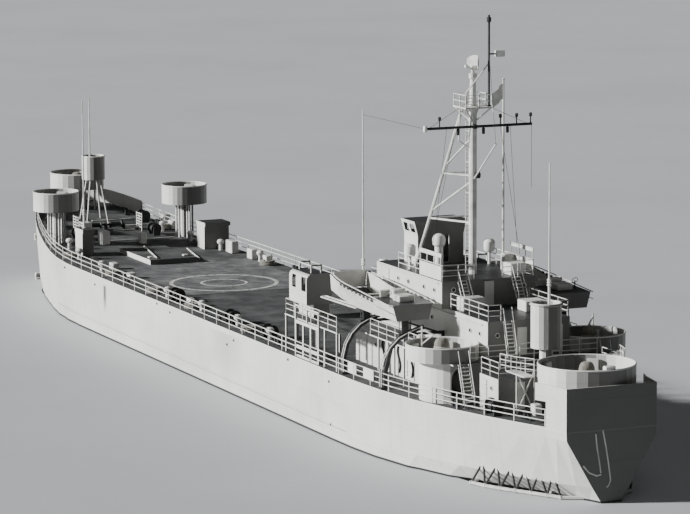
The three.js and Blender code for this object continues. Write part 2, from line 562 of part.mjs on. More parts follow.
// Windowed deck control cabin on each side, round-shouldered, on a plinth, with a hoop frame on its roof
function buildCabin(s) {
  const { fore, aft, inner, outer, floor, top, wall, round } = CABIN;
  const section = (d) => {
    const [low, high, left, right, r] = [floor + d, top - d, inner + d, outer - d, round - d];
    const corner = (cy, turn) => [0, 1, 2, 3, 4].map((k) => {
      const angle = turn + (k / 4) * (Math.PI / 2);
      return [s * (cy + Math.cos(angle) * r), high - r + Math.sin(angle) * r];
    });
    return [[s * left, low], [s * right, low], ...corner(right - r, 0), ...corner(left + r, Math.PI / 2)];
  };
  const shell = endProfile(section(0), aft, fore);
  const room = endProfile(section(wall), aft + wall, fore - wall);
  const [sill, head] = [floor + 96, floor + 182];
  const windows = [
    box(fore - 115, fore - 50, s * (outer - 20), s * (outer + 20), sill, head),
    box(aft + 14, aft + 92, s * (outer - 20), s * (outer + 20), sill - 8, head),
    box(fore - 20, fore + 20, s * (inner + 22), s * (inner + 84), sill, head - 30),
    box(fore - 20, fore + 20, s * (inner + 104), s * (inner + 166), sill, head - 30),
    box(aft + 110, aft + 185, s * (inner - 20), s * (inner + 20), floor + 12, head - 20),
  ];
  const plinth = box(aft + 24, fore - 24, s * (inner + 8), s * (outer - 60), BOAT_DECK_TOP + TOUCH,
    floor + 2);
  const bow = [top - 3, top + 50];
  const hoops = [aft + 50, fore - 50].map((x) => join(
    box(x - 5, x + 5, s * (inner + 52), s * (inner + 62), ...bow),
    box(x - 5, x + 5, s * (outer - 62), s * (outer - 52), ...bow),
    box(x - 5, x + 5, s * (inner + 52), s * (outer - 52), top + 44, top + 54)));
  const ridge = box(aft + 50, fore - 50, s * (outer - 61), s * (outer - 53), top + 45, top + 53);
  return join(cut(shell, room, ...windows), plinth, ...hoops, ridge);
}
for (const [side, s] of SIDES) add(`control_cabin_${side}`, buildCabin(s), HOUSE_GREY);

// Side screen with tall and low openings at the deck's edge, and an open frame above it
const SCREEN = { fore: -1850, aft: -2255, y: 737, thick: 8, top: DECK + 248, frame: DECK + 352,
  bar: 12, bays: 3 };
function buildScreen(s) {
  const { fore, aft, y, thick, top, frame, bar: edge, bays } = SCREEN;
  const plate = (x0, x1, z0, z1) => box(x0, x1, s * y, s * (y + thick), z0, z1);
  const pitch = (fore - aft - 20) / bays;
  const openings = [];
  for (let i = 0; i < bays; i += 1) {
    const x = aft + 20 + i * pitch;
    for (const [z0, z1] of [[DECK + 16, DECK + 58], [DECK + 82, top - 22]]) {
      openings.push(box(x, x + pitch - 20, s * (y - 20), s * (y + 30), z0, z1));
    }
  }
  const posts = [aft, (aft + fore - edge) / 2, fore - edge].map((x) => plate(x, x + edge, top - 2, frame));
  return join(cut(plate(aft, fore, DECK + TOUCH, top), ...openings), ...posts, plate(aft + 1, fore - 1,
    frame - edge, frame - 1));
}
for (const [side, s] of SIDES) add(`side_screen_${side}`, buildScreen(s), HOUSE_GREY);

add("aft_house", box(AFT_HOUSE.aft, AFT_HOUSE.fore, -AFT_HOUSE.half, AFT_HOUSE.half, DECK + TOUCH,
  AFT_HOUSE.top), HOUSE_GREY);

// Open round tubs, each a floor and a wall on its own support
function tubProfile({ radius, floor, rim, wall = 8 }) {
  return [[0, floor], [radius, floor], [radius, rim], [radius - wall, rim], [radius - wall, floor + 8],
    [0, floor + 8]];
}
const TUBS = [
  { name: "tub_bow_centre", x: 4720, y: 0, radius: 225, floor: DECK + 340, rim: DECK + 470, legs: 150 },
  { name: "tub_bow_port", x: 3640, y: 553, radius: 185, floor: DECK + 310, rim: DECK + 460, legs: 66 },
  { name: "tub_bow_stbd", x: 3640, y: -553, radius: 185, floor: DECK + 310, rim: DECK + 460, legs: 66 },
  { name: "tub_mid_port", ...TUB_MID, floor: BOAT_DECK_TOP + TOUCH, rim: DECK + 352, legs: 0 },
  { name: "tub_mid_stbd", ...TUB_MID, y: -TUB_MID.y, floor: BOAT_DECK_TOP + TOUCH, rim: DECK + 352, legs: 0 },
  { name: "tub_stern", ...STERN_TUB, legs: 180, turn: 0.5 },
];
const DECK_SEAT = deckBand(STERN, BOW - 2, -400, TOUCH);
for (const tub of TUBS) {
  const pieces = [turned(tubProfile(tub), tub.x, tub.y, 28)];
  if (tub.legs > 0) {
    for (let k = 0; k < 6; k += 1) {
      const angle = ((k + (tub.turn ?? 0)) / 6) * 2 * Math.PI;
      const [cx, cy] = [Math.cos(angle) * tub.legs, Math.sin(angle) * tub.legs];
      pieces.push(bar([tub.x + cx, tub.y + cy, DECK], [tub.x + cx, tub.y + cy, tub.floor + 2], 9, 6));
    }
    const core = tub.legs * 0.5;
    pieces.push(turned([[0, DECK], [core, DECK], [core, tub.floor + 2], [0, tub.floor + 2]], tub.x,
      tub.y, 12));
  }
  const whole = join(...pieces);
  add(tub.name, tub.legs > 0 ? cut(whole, DECK_SEAT) : whole, HOUSE_GREY);
  const z = tub.floor + 8 + TOUCH;
  const cover = turned([[0, z], [62, z], [62, z + 30], [48, z + 90], [36, z + 118], [0, z + 124]],
    tub.x, tub.y, 16);
  add(tub.name.replace("tub", "covered_pedestal"), cover, CANVAS);
}

// Lookout tubs: raised on splayed legs at the bow, on a post aft
const BOW_LOOKOUT = { x: 4300, radius: 95, floor: DECK + 460, rim: DECK + 652, head: 60, foot: 150 };
function buildBowLookout() {
  const { x, radius, floor, rim, head, foot } = BOW_LOOKOUT;
  const pieces = [turned(tubProfile({ radius, floor, rim, wall: 7 }), x, 0, 20)];
  for (let k = 0; k < 4; k += 1) {
    const angle = Math.PI / 4 + (k * Math.PI) / 2;
    const [c, n] = [Math.cos(angle), Math.sin(angle)];
    pieces.push(bar([x + c * head, n * head, floor + 3], [x + c * foot, n * foot, DECK], 8, 6));
  }
  return cut(join(...pieces), DECK_SEAT);
}
add("lookout_bow", buildBowLookout(), HOUSE_GREY);
const AFT_LOOKOUT = { x: -4110, radius: 97, post: 42, floor: DECK + 355, rim: DECK + 632 };
function buildAftLookout() {
  const { x, radius, post, floor, rim } = AFT_LOOKOUT;
  const base = AFT_HOUSE.top + TOUCH;
  return join(
    turned(tubProfile({ radius, floor, rim, wall: 7 }), x, 0, 20),
    turned([[0, base], [post, base], [post, floor + 2], [0, floor + 2]], x, 0, 12),
    turned([[radius - 3, rim - 12], [radius + 9, rim - 6], [radius + 9, rim], [radius - 3, rim],
      [radius - 3, rim - 12]],
      x, 0, 20));
}
add("lookout_aft", buildAftLookout(), HOUSE_GREY);

// Hooded ventilator trunks on the fore deck
function buildTrunk({ s, fore, aft, inner, outer }) {
  const { z, hood, lip, cap } = TRUNK_TOP;
  return cut(join(
    box(aft, fore, s * inner, s * outer, DECK, z),
    box(aft - hood, fore + lip, s * (inner - lip), s * (outer + lip), z - hood, z + cap)), DECK_SEAT);
}
for (const trunk of VENT_TRUNKS) add(`vent_trunk_${trunk.side}`, buildTrunk(trunk), HOUSE_GREY);

// Tripod mast: pole, two forward legs with braces, platform, yard, topmast and radar
const ROOF = BRIDGE_HOUSE.top + TOUCH;
function buildLegs() {
  const top = PLATFORM.z + 10;
  const at = (s, z) => {
    const t = (z - ROOF) / (top - ROOF);
    return [LEG.footX + (LEG.headX - LEG.footX) * t, s * (LEG.footY + (LEG.headY - LEG.footY) * t), z];
  };
  const braces = [[DECK + 1000, DECK + 1000], [DECK + 1050, DECK + 1275], [DECK + 1303, DECK + 1303],
    [DECK + 1350, DECK + 1560]];
  const pieces = [bar(at(1, DECK + 1000), at(-1, DECK + 1000), 6, 6), bar(at(1, DECK + 1303), at(-1,
    DECK + 1303), 6, 6)];
  for (const [, s] of SIDES) {
    pieces.push(bar(at(s, ROOF), at(s, top), LEG.radius, 8));
    for (const [outer, inner] of braces) pieces.push(bar(at(s, outer), [POLE.x, 0, inner], 7, 6));
  }
  return cut(join(...pieces), box(-4000, -2000, -500, 500, 0, ROOF),
    box(-4000, -2000, -400, 400, PLATFORM.z, PLATFORM.z + 100),
    bar([POLE.x, 0, ROOF], [POLE.x, 0, top], POLE.radius + TOUCH, 12));
}
add("mast_legs", buildLegs(), HOUSE_GREY);
function buildPlatform() {
  const { z, half, thick, rail } = PLATFORM;
  const x0 = POLE.x;
  const pieces = [box(x0 - half, x0 + half, -half, half, z + TOUCH, z + thick)];
  const corners = [[-1, -1], [-1, 1], [1, -1], [1, 1], [0, -1], [0, 1], [-1, 0], [1, 0]];
  for (const [i, j] of corners) {
    const [x, y] = [x0 + i * (half - 4), j * (half - 4)];
    pieces.push(box(x - 3, x + 3, y - 3, y + 3, z + 2, z + rail - 2));
  }
  for (const h of [rail * 0.5, rail - 5]) {
    for (const j of [-1, 1]) {
      pieces.push(box(x0 - half + 2, x0 + half - 2, j * (half - 4) - 2, j * (half - 4) + 2, z + h,
        z + h + 5));
      pieces.push(box(x0 + j * (half - 4) - 1.5, x0 + j * (half - 4) + 1.5, 3 - half, half - 3,
        z + h + 0.6, z + h + 4));
    }
  }
  return join(...pieces);
}
add("mast_platform", buildPlatform(), HOUSE_GREY);
add("yard", cut(
  join(
    bar([YARD.x, -YARD.stbd, YARD.z], [YARD.x, YARD.port, YARD.z], YARD.radius, 8),
    box(YARD.x - 14, YARD.x + 16, -12, 12, YARD.z - 12, YARD.z + 12)),
  bar([POLE.x, 0, ROOF], [POLE.x, 0, PLATFORM.z], POLE.radius + TOUCH, 12)), DARK_PAINT);
const TOP_SEAT = PLATFORM.z + PLATFORM.thick + TOUCH;
add("topmast", join(
  bar([TOPMAST.x, TOPMAST.y, TOP_SEAT], [TOPMAST.x, TOPMAST.y, TOPMAST.top], TOPMAST.radius, 8),
  bar([TOPMAST.x, TOPMAST.y, TOPMAST.arm], [TOPMAST.x, TOPMAST.y - 70, TOPMAST.arm], 5, 6),
  box(TOPMAST.x - 12, TOPMAST.x + 12, TOPMAST.y - 12, TOPMAST.y + 12, TOP_SEAT, TOP_SEAT + 8),
), DARK_PAINT);

// Radar: pedestal on the platform, dish that turns on it
const RADAR = { x: POLE.x, y: 0, seat: TOP_SEAT, head: DECK + 1965, width: 160, height: 90 };
add("radar_pedestal", turned([[0, RADAR.seat], [24, RADAR.seat], [18, RADAR.head - 40], [26, RADAR.head - 30],
  [26, RADAR.head], [0, RADAR.head]], RADAR.x, RADAR.y, 12), HOUSE_GREY);
function buildDish() {
  const { x, y, head, width, height } = RADAR;
  const z0 = head + TOUCH;
  const rings = [];
  for (let i = 0; i <= 8; i += 1) {
    const t = -1 + (2 * i) / 8;
    const bow = 30 * t * t;
    const h = (height / 2) * Math.sqrt(Math.max(1 - t * t * 0.85, 0.1));
    const zc = z0 + 25 + height / 2;
    rings.push([[t * width / 2, -25 + bow, zc - h], [t * width / 2, -31 + bow, zc - h], [t * width / 2,
      -31 + bow, zc + h], [t * width / 2, -25 + bow, zc + h]]);
  }
  const dish = loft(rings).translate(x, y, 0);
  const stem = bar([x, y, z0], [x, y, z0 + 30], 12, 8);
  const back = box(x - 8, x + 8, y - 34, y + 8, z0 + 20, z0 + 50);
  const feed = join(bar([x, y, z0 + 24], [x, y + 50, z0 + 45], 4, 6), box(x - 12, x + 12, y + 44,
    y + 54, z0 + 38, z0 + 54));
  return join(dish, stem, back, feed);
}
add("radar_antenna", buildDish(), HOUSE_GREY);

// The pole, with the gaff on its after side
const GAFF = { low: DECK + 1280, high: DECK + 1545, reach: 340, radius: 6 };
add("mast_pole", join(
  bar([POLE.x, 0, ROOF], [POLE.x, 0, PLATFORM.z], POLE.radius, 12),
  bar([POLE.x - 10, 0, GAFF.low], [POLE.x - GAFF.reach, 0, GAFF.high], GAFF.radius, 6)), HOUSE_GREY);

const BOAT = { fore: -2340, aft: -3350, y: 560, half: 158, keel: DECK + 448, wall: 7, stern: 102, bow: 170 };

// Boat davits: a curved track up from the deck's edge, and an arm that carries the boat
const DAVIT = { width: 24, depth: 26,
  track: [[722, 0], [722, 110], [700, 195], [660, 262], [600, 318], [520, 356], [440, 380]] };
const DAVIT_X = [-2620, -3230];
function buildDavit(x, s) {
  const { width, depth, track } = DAVIT;
  const pieces = [];
  const narrowing = station(x).deck - HALF_BEAM;
  const foot = ([y, z]) => [z < 250 ? y + narrowing : y, z];
  for (let i = 0; i + 1 < track.length; i += 1) {
    const [[ya, za], [yb, zb]] = [foot(track[i]), foot(track[i + 1])];
    const [dy, dz] = [yb - ya, zb - za];
    const len = Math.hypot(dy, dz);
    const bar4 = new THREE.BoxGeometry(width, len + depth * 0.6, depth);
    bar4.rotateX(Math.atan2(dz, dy));
    bar4.translate(x, (ya + yb) / 2, DECK + (za + zb) / 2);
    pieces.push(bar4);
  }
  const [beam, rest] = [[DECK + 330, DECK + 348], BOAT.y];
  pieces.push(box(x - 8, x + 8, 300, rest + 45, ...beam));
  pieces.push(box(x - 8, x + 8, rest - 22, rest + 22, DECK + 330, BOAT.keel - TOUCH));
  pieces.push(box(x - 7, x + 7, 288, 304, BOAT_DECK_TOP + TOUCH, beam[1]));
  pieces.push(bar([x, 296, beam[0]], [x, rest - 12, BOAT.keel - 30], 6, 6));
  const whole = cut(join(...pieces), box(x - 50, x + 50, 600, 900, DECK - 100, DECK + TOUCH));
  return s > 0 ? whole : mirror(whole);
}
for (const [side, s] of SIDES) {
  DAVIT_X.forEach((x, i) => add(`davit_${side}_${i === 0 ? "fore" : "aft"}`, buildDavit(x, s), DARK_PAINT));
}

// Landing boats: hollow, with a bow ramp hinged at its lower edge
function buildBoat(s) {
  const { fore, aft, half, keel, wall, stern, bow } = BOAT;
  const rows = [
    { x: aft, half: 138, flat: 110, low: 0, top: stern },
    { x: aft + 300, half: half, flat: 118, low: 0, top: stern + 4 },
    { x: fore - 380, half: half, flat: 112, low: 0, top: stern + 14 },
    { x: fore - 150, half: half - 4, flat: 118, low: 26, top: bow - 22 },
    { x: fore, half: half - 22, flat: 128, low: 62, top: bow },
  ];
  const ring = (r, d) => [[r.x, r.half - d, keel + r.top + (d > 0 ? 30 : 0)], [r.x, r.flat - d,
    keel + r.low + d],
    [r.x, -r.flat + d, keel + r.low + d], [r.x, -r.half + d, keel + r.top + (d > 0 ? 30 : 0)]];
  const outer = loft(rows.map((r) => ring(r, 0)));
  const inner = loft([{ ...rows[0], x: aft + 330 }, rows[2], rows[3], { ...rows[4],
    x: fore + 20 }].map((r) => ring(r, wall)));
  const open = cut(outer, inner, box(fore - 12, fore + 30, -118, 118, keel + 66, keel + 400));
  return open.translate(0, s * BOAT.y, 0);
}
const BOAT_RAMP = { x: BOAT.fore - 6, z: BOAT.keel + 76, pin: 4, half: 113, notch: 119.9 };
function buildBoatRamp(s) {
  const { x, z, pin, half, notch } = BOAT_RAMP;
  const y = s * BOAT.y;
  return join(
    box(x - 4, x + 4, y - half, y + half, z + 3, BOAT.keel + BOAT.bow + 12),
    bar([x, y - notch + TOUCH, z], [x, y + notch - TOUCH, z], pin, 10));
}
for (const [side, s] of SIDES) {
  add(`landing_boat_${side}`, buildBoat(s), HOUSE_GREY);
  add(`boat_ramp_${side}`, buildBoatRamp(s), HOUSE_GREY);
}

// Guard rails along both sides of the main deck: posts and bars as one lattice that follows the edge.
// Columns are the two edges of each post; levels are the foot and the lower and upper edge of each bar.
const RAIL = { post: 6, thick: 4, bars: [34, 68, 102], bar: 5, inset: 12, pitch: 240, fore: 4400,
  aft: -4770 };
function buildRail() {
  const { post, thick, bars, bar: deep, inset, pitch, fore, aft } = RAIL;
  const levels = [0, ...bars.flatMap((h) => [h, h + deep])];
  const count = Math.round((fore - aft) / pitch);
  const vertices = [];
  const columns = [];
  const column = (x) => {
    const row = station(x);
    for (const z of levels) {
      for (const out of [-thick / 2, thick / 2]) vertices.push(x, row.deck - inset + out,
        row.top + TOUCH + z);
    }
    columns.push(columns.length);
  };
  for (let i = 0; i <= count; i += 1) {
    const x = aft + (i * (fore - aft)) / count;
    column(x - post / 2);
    column(x + post / 2);
  }
  const at = (c, level, out) => (c * levels.length + level) * 2 + out;
  const faces = [];
  const quad = (p, q, r, t) => faces.push(p, q, r, p, r, t);
  const last = levels.length - 1;
  const cell = (l, r, k) => {
    quad(at(r, k, 1), at(l, k, 1), at(l, k + 1, 1), at(r, k + 1, 1));
    quad(at(l, k, 0), at(r, k, 0), at(r, k + 1, 0), at(l, k + 1, 0));
  };
  const lid = (l, r, k) => quad(at(l, k, 0), at(r, k, 0), at(r, k, 1), at(l, k, 1));
  const base = (l, r, k) => quad(at(l, k, 1), at(r, k, 1), at(r, k, 0), at(l, k, 0));
  for (let i = 0; i <= count; i += 1) {
    const [l, r] = [2 * i, 2 * i + 1];
    base(l, r, 0);
    lid(l, r, last);
    for (let k = 0; k < last; k += 1) {
      const isBar = k % 2 === 1;
      cell(l, r, k);
      if (!isBar || i === 0) quad(at(l, k, 1), at(l, k, 0), at(l, k + 1, 0), at(l, k + 1, 1));
      if (!isBar || i === count) quad(at(r, k, 0), at(r, k, 1), at(r, k + 1, 1), at(r, k + 1, 0));
      if (isBar && i < count) {
        cell(r, r + 1, k);
        lid(r, r + 1, k + 1);
        base(r, r + 1, k);
      }
    }
  }
  const g = new THREE.BufferGeometry();
  g.setAttribute("position", new THREE.Float32BufferAttribute(vertices, 3));
  g.setIndex(faces);
  return g;
}
const rail = buildRail();
add("guard_rail_port", rail, HOUSE_GREY);
add("guard_rail_stbd", mirror(rail), HOUSE_GREY);

// Stern anchor on the transom, its winch on deck, and the bow windlass
add("stern_winch", join(
  box(-4480, -4380, -75, 75, DECK + TOUCH, DECK + 20),
  bar([-4430, -70, DECK + 60], [-4430, 70, DECK + 60], 34, 12),
  box(-4470, -4390, -75, -62, DECK + 10, DECK + 90),
  box(-4470, -4390, 62, 75, DECK + 10, DECK + 90)), DARK_PAINT);

export default ship;
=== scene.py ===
import math

import bmesh
import bpy
import numpy as np
from mathutils import Matrix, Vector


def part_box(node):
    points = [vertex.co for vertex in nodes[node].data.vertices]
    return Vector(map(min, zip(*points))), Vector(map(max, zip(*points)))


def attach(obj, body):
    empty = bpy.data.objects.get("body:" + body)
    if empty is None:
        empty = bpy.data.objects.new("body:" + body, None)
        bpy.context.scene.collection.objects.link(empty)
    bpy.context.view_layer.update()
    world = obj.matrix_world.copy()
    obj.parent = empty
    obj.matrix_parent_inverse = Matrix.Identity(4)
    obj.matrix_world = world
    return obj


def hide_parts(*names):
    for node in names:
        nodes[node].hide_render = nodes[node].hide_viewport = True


# A tank landing ship at one tenth of full size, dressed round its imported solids.
# Metres; +X to the bow, +Y to port, +Z up from the flat keel.

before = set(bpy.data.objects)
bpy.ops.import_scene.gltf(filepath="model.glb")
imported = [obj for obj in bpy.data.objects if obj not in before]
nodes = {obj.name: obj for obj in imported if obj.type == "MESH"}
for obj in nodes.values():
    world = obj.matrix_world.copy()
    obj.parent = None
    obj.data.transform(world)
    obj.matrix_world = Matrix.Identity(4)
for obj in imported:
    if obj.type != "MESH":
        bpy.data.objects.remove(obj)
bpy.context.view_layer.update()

# Heights of the water and of the decks and roofs that things stand on
WATER = 0.315
DECK = 0.767
BOAT_DECK = 1.025
HOUSE_TOP = 1.262
ROOF = 1.437
AFT_TOP = 0.984
SIDES = (1.0, -1.0)
# Radius of the guard rails' tubes, and the corner past which an edge stays crisp
RAIL = 0.0028
ROUND_OVER = math.radians(35.0)

# Camera: the photograph's own viewpoint, off the port quarter and above
EYE = (-23.774, 9.816, 4.901)
HEADING = math.radians(23.291)
DIP = math.radians(8.3205)
TILT = math.radians(-0.2666)
LENS = 187.86
SENSOR = 36.0


def stand(thing, right, up, back, place=(0.0, 0.0, 0.0)):
    """Sets up a camera or lamp at a place, with its own X, Y and Z along right, up and back."""
    turn = np.eye(4)
    turn[:3] = np.stack([right, up, back, place], 1)
    thing.matrix_world = Matrix(turn.tolist())
    bpy.context.scene.collection.objects.link(thing)


def aim_camera():
    """The line of sight runs forward, to starboard by HEADING and down by DIP; TILT rolls the view round it."""
    forward = np.array([
        math.cos(HEADING) * math.cos(DIP),
        -math.sin(HEADING) * math.cos(DIP),
        -math.sin(DIP),
    ])
    right = np.cross(forward, [0.0, 0.0, 1.0])
    right /= np.linalg.norm(right)
    up = np.cross(right, forward)
    data = bpy.data.cameras.new("quarter_view")
    data.sensor_fit = "HORIZONTAL"
    data.sensor_width = SENSOR
    data.lens = LENS
    data.clip_start = 0.1
    data.clip_end = 400.0
    camera = bpy.data.objects.new("quarter_view", data)
    c, s = math.cos(TILT), math.sin(TILT)
    stand(camera, right * c + up * s, up * c - right * s, -forward, EYE)
    bpy.context.scene.camera = camera


aim_camera()


# Lights: a low key from the port beam, a weak fill from high astern and a dim sky
def shine(name, energy, angle, azimuth, height):
    """A sun lamp whose rays come from a bearing, in degrees from the bow towards port, and a height."""
    data = bpy.data.lights.new(name, "SUN")
    data.energy = energy
    data.angle = math.radians(angle)
    a, h = math.radians(azimuth), math.radians(height)
    source = np.array([math.cos(a) * math.cos(h), math.sin(a) * math.cos(h), math.sin(h)])
    side = np.cross([0.0, 0.0, 1.0], source)
    side /= np.linalg.norm(side)
    stand(bpy.data.objects.new(name, data), side, np.cross(source, side), source)


shine("port_beam_key", 8.5, 4.0, 74.0, 20.0)
shine("overhead_fill", 0.15, 60.0, 200.0, 70.0)

world = bpy.data.worlds.new("studio")
bpy.context.scene.world = world
world.use_nodes = True
sky = world.node_tree.nodes["Background"].inputs
sky["Color"].default_value = (0.82, 0.84, 0.87, 1.0)
sky["Strength"].default_value = 0.07


# Materials
def linear(hex_colour):
    """sRGB hex to linear RGBA."""
    channels = np.array([int(hex_colour[i:i + 2], 16) for i in (1, 3, 5)]) / 255.0
    low = channels / 12.92
    high = ((channels + 0.055) / 1.055) ** 2.4
    return (*np.where(channels <= 0.04045, low, high).tolist(), 1.0)


def put(tree, kind, settings=None, inputs=None):
    """Adds one shader node with its settings and its inputs, each a constant or another node's output socket."""
    node = tree.nodes.new("ShaderNode" + kind)
    for key, value in (settings or {}).items():
        setattr(node, key, value)
    for key, value in (inputs or {}).items():
        if isinstance(value, bpy.types.NodeSocket):
            tree.links.new(value, node.inputs[key])
        else:
            node.inputs[key].default_value = value
    return node


# Settings that several nodes share, and the sockets of a colour Mix
MIX = {"data_type": "RGBA"}
FACTOR, FIRST, SECOND, MIXED = 0, 6, 7, 2
TIMES = {"operation": "MULTIPLY"}
MINUS = {"operation": "SUBTRACT"}
UNSIGNED = {"operation": "ABSOLUTE"}
CLOSE_TO = {"operation": "COMPARE"}
EASED = {"interpolation_type": "SMOOTHSTEP"}


def finish(name, base, worn, patch_mm, grain_mm, roughness, relief_mm, metallic=0.0):
    """A coated surface: base drifts to worn in soft patches of patch_mm, and a fine grain of grain_mm moves
    the roughness and lifts the surface by relief_mm. Returns the material and what a finish adds to."""
    material = bpy.data.materials.new(name)
    material.use_nodes = True
    tree = material.node_tree
    shader = tree.nodes["Principled BSDF"]
    place = put(tree, "TexCoord").outputs["Object"]
    patches = put(tree, "TexNoise", None, {
        "Vector": place, "Scale": 1000.0 / patch_mm, "Detail": 6.0, "Roughness": 0.62})
    grain = put(tree, "TexNoise", None, {"Vector": place, "Scale": 1000.0 / grain_mm, "Detail": 2.0})
    share = put(tree, "MapRange", None, {
        "Value": patches.outputs["Fac"], "From Min": 0.42, "From Max": 0.72})
    colour = put(tree, "Mix", MIX, {
        FACTOR: share.outputs["Result"], FIRST: linear(base), SECOND: linear(worn)})
    gloss = put(tree, "MapRange", None, {
        "Value": grain.outputs["Fac"], "From Min": 0.3, "From Max": 0.7,
        "To Min": roughness - 0.06, "To Max": roughness + 0.08})
    bump = put(tree, "Bump", None, {
        "Height": grain.outputs["Fac"], "Strength": 0.5, "Distance": relief_mm / 1000.0})
    tree.links.new(colour.outputs[MIXED], shader.inputs["Base Color"])
    tree.links.new(gloss.outputs["Result"], shader.inputs["Roughness"])
    tree.links.new(bump.outputs["Normal"], shader.inputs["Normal"])
    shader.inputs["Metallic"].default_value = metallic
    return material, tree, place, colour.outputs[MIXED], shader, bump


def plated(made, length, height, plane, line_mm, tone):
    """Welded plating: butts every length and seams every height, drawn as faint lines of line_mm and raised a
    little; plane names the two axes that the plates lie in."""
    material, tree, place, colour, shader, bump = made
    axes = put(tree, "SeparateXYZ", None, {"Vector": place})
    flat = put(tree, "CombineXYZ", None, {"X": axes.outputs[plane[0]], "Y": axes.outputs[plane[1]]})
    plates = put(tree, "TexBrick", {"offset": 0.5}, {
        "Vector": flat.outputs["Vector"], "Scale": 1.0, "Brick Width": length, "Row Height": height,
        "Mortar Size": line_mm / 1000.0, "Mortar Smooth": 0.4})
    faint = put(tree, "Math", TIMES, {0: plates.outputs["Fac"], 1: tone})
    lined = put(tree, "Mix", MIX, {
        FACTOR: faint.outputs["Value"], FIRST: colour, SECOND: linear("#55564f")})
    weld = put(tree, "Bump", None, {
        "Height": plates.outputs["Fac"], "Strength": 0.6, "Distance": 0.0012,
        "Normal": bump.outputs["Normal"]})
    tree.links.new(lined.outputs[MIXED], shader.inputs["Base Color"])
    tree.links.new(weld.outputs["Normal"], shader.inputs["Normal"])
    return material, tree, axes, lined.outputs[MIXED], shader


# Haze grey alkyd enamel over welded plate: a soft, nearly white face in the sun, grimed in long runs
hull_enamel, tree, axes, colour, shader = plated(
    finish("haze_grey_hull_enamel", "#d3d3cf", "#bdbdb8", 900.0, 6.0, 0.5, 0.3),
    0.62, 0.19, ("X", "Z"), 1.6, 0.16)
# Each coat over the enamel is a share from 0 to 1 and a tone, and they are laid on in turn
coats = []
# Runs: noise stretched down the side, because rain carries the dirt straight down
stretch = put(tree, "CombineXYZ", None, {"X": axes.outputs["X"]})
runs = put(tree, "TexNoise", None, {"Vector": stretch.outputs["Vector"], "Scale": 26.0, "Detail": 4.0})
share = put(tree, "MapRange", None, {
    "Value": runs.outputs["Fac"], "From Min": 0.52, "From Max": 0.75, "To Max": 0.22})
coats.append((share.outputs["Result"], "#8d8c85"))
# Stains: centre, half width, top, bottom and strength; a dark one below a pipe, a grey one amidships
STAINS = [(1.90, 0.052, 0.705, 0.48, 0.95), (-0.60, 0.42, 0.72, 0.30, 0.30), (-2.30, 0.10, 0.56, 0.30, 0.12)]
for centre, half, top, bottom, strength in STAINS:
    along = put(tree, "Math", MINUS, {0: axes.outputs["X"], 1: centre})
    away = put(tree, "Math", UNSIGNED, {0: along.outputs["Value"]})
    wide = put(tree, "MapRange", EASED, {
        "Value": away.outputs["Value"], "From Min": 0.0, "From Max": half, "To Min": strength, "To Max": 0.0})
    upper = put(tree, "MapRange", EASED, {
        "Value": axes.outputs["Z"], "From Min": top, "From Max": top + 0.02, "To Min": 1.0, "To Max": 0.0})
    lower = put(tree, "MapRange", EASED, {
        "Value": axes.outputs["Z"], "From Min": bottom, "From Max": top - 0.06})
    part = put(tree, "Math", TIMES, {0: upper.outputs["Result"], 1: lower.outputs["Result"]})
    share = put(tree, "Math", TIMES, {0: part.outputs["Value"], 1: wide.outputs["Result"]})
    coats.append((share.outputs["Value"], "#34342f"))
# Painted shade: a dark line low on the side along a ledge, from the bow to just ahead of the quarter
LEDGE_SHADE_Z, LEDGE_SHADE_HALF, LEDGE_SHADE_MIDDLE, LEDGE_SHADE_REACH = 0.408, 0.0022, 0.18, 2.92
ledge_shade = put(tree, "Math", CLOSE_TO, {0: axes.outputs["Z"], 1: LEDGE_SHADE_Z, 2: LEDGE_SHADE_HALF})
extent = put(tree, "Math", CLOSE_TO, {0: axes.outputs["X"], 1: LEDGE_SHADE_MIDDLE, 2: LEDGE_SHADE_REACH})
share = put(tree, "Math", TIMES, {0: ledge_shade.outputs["Value"], 1: extent.outputs["Value"]})
coats.append((share.outputs["Value"], "#6d6d68"))
# Boot topping and antifouling: matt black from just above the water down
share = put(tree, "MapRange", None, {
    "Value": axes.outputs["Z"], "From Min": WATER + 0.012, "From Max": WATER + 0.016,
    "To Min": 1.0, "To Max": 0.0})
coats.append((share.outputs["Result"], "#1a1b1b"))
# Painted shade: whatever faces aft is darkened, most of all the transom
normal = put(tree, "NewGeometry").outputs["Normal"]
facing = put(tree, "SeparateXYZ", None, {"Vector": normal})
share = put(tree, "MapRange", None, {
    "Value": facing.outputs["X"], "From Min": -0.98, "From Max": -0.80, "To Min": 0.85, "To Max": 0.0})
coats.append((share.outputs["Result"], "#303030"))
for share, tone in coats:
    colour = put(tree, "Mix", MIX, {FACTOR: share, FIRST: colour, SECOND: linear(tone)}).outputs[MIXED]
tree.links.new(colour, shader.inputs["Base Color"])

# The same enamel on thin house plate: smaller plates, brighter, less grime
house_enamel = plated(
    finish("haze_grey_house_enamel", "#d8d8d4", "#c2c2bd", 350.0, 5.0, 0.48, 0.25),
    0.24, 0.13, ("X", "Z"), 1.2, 0.14)[0]


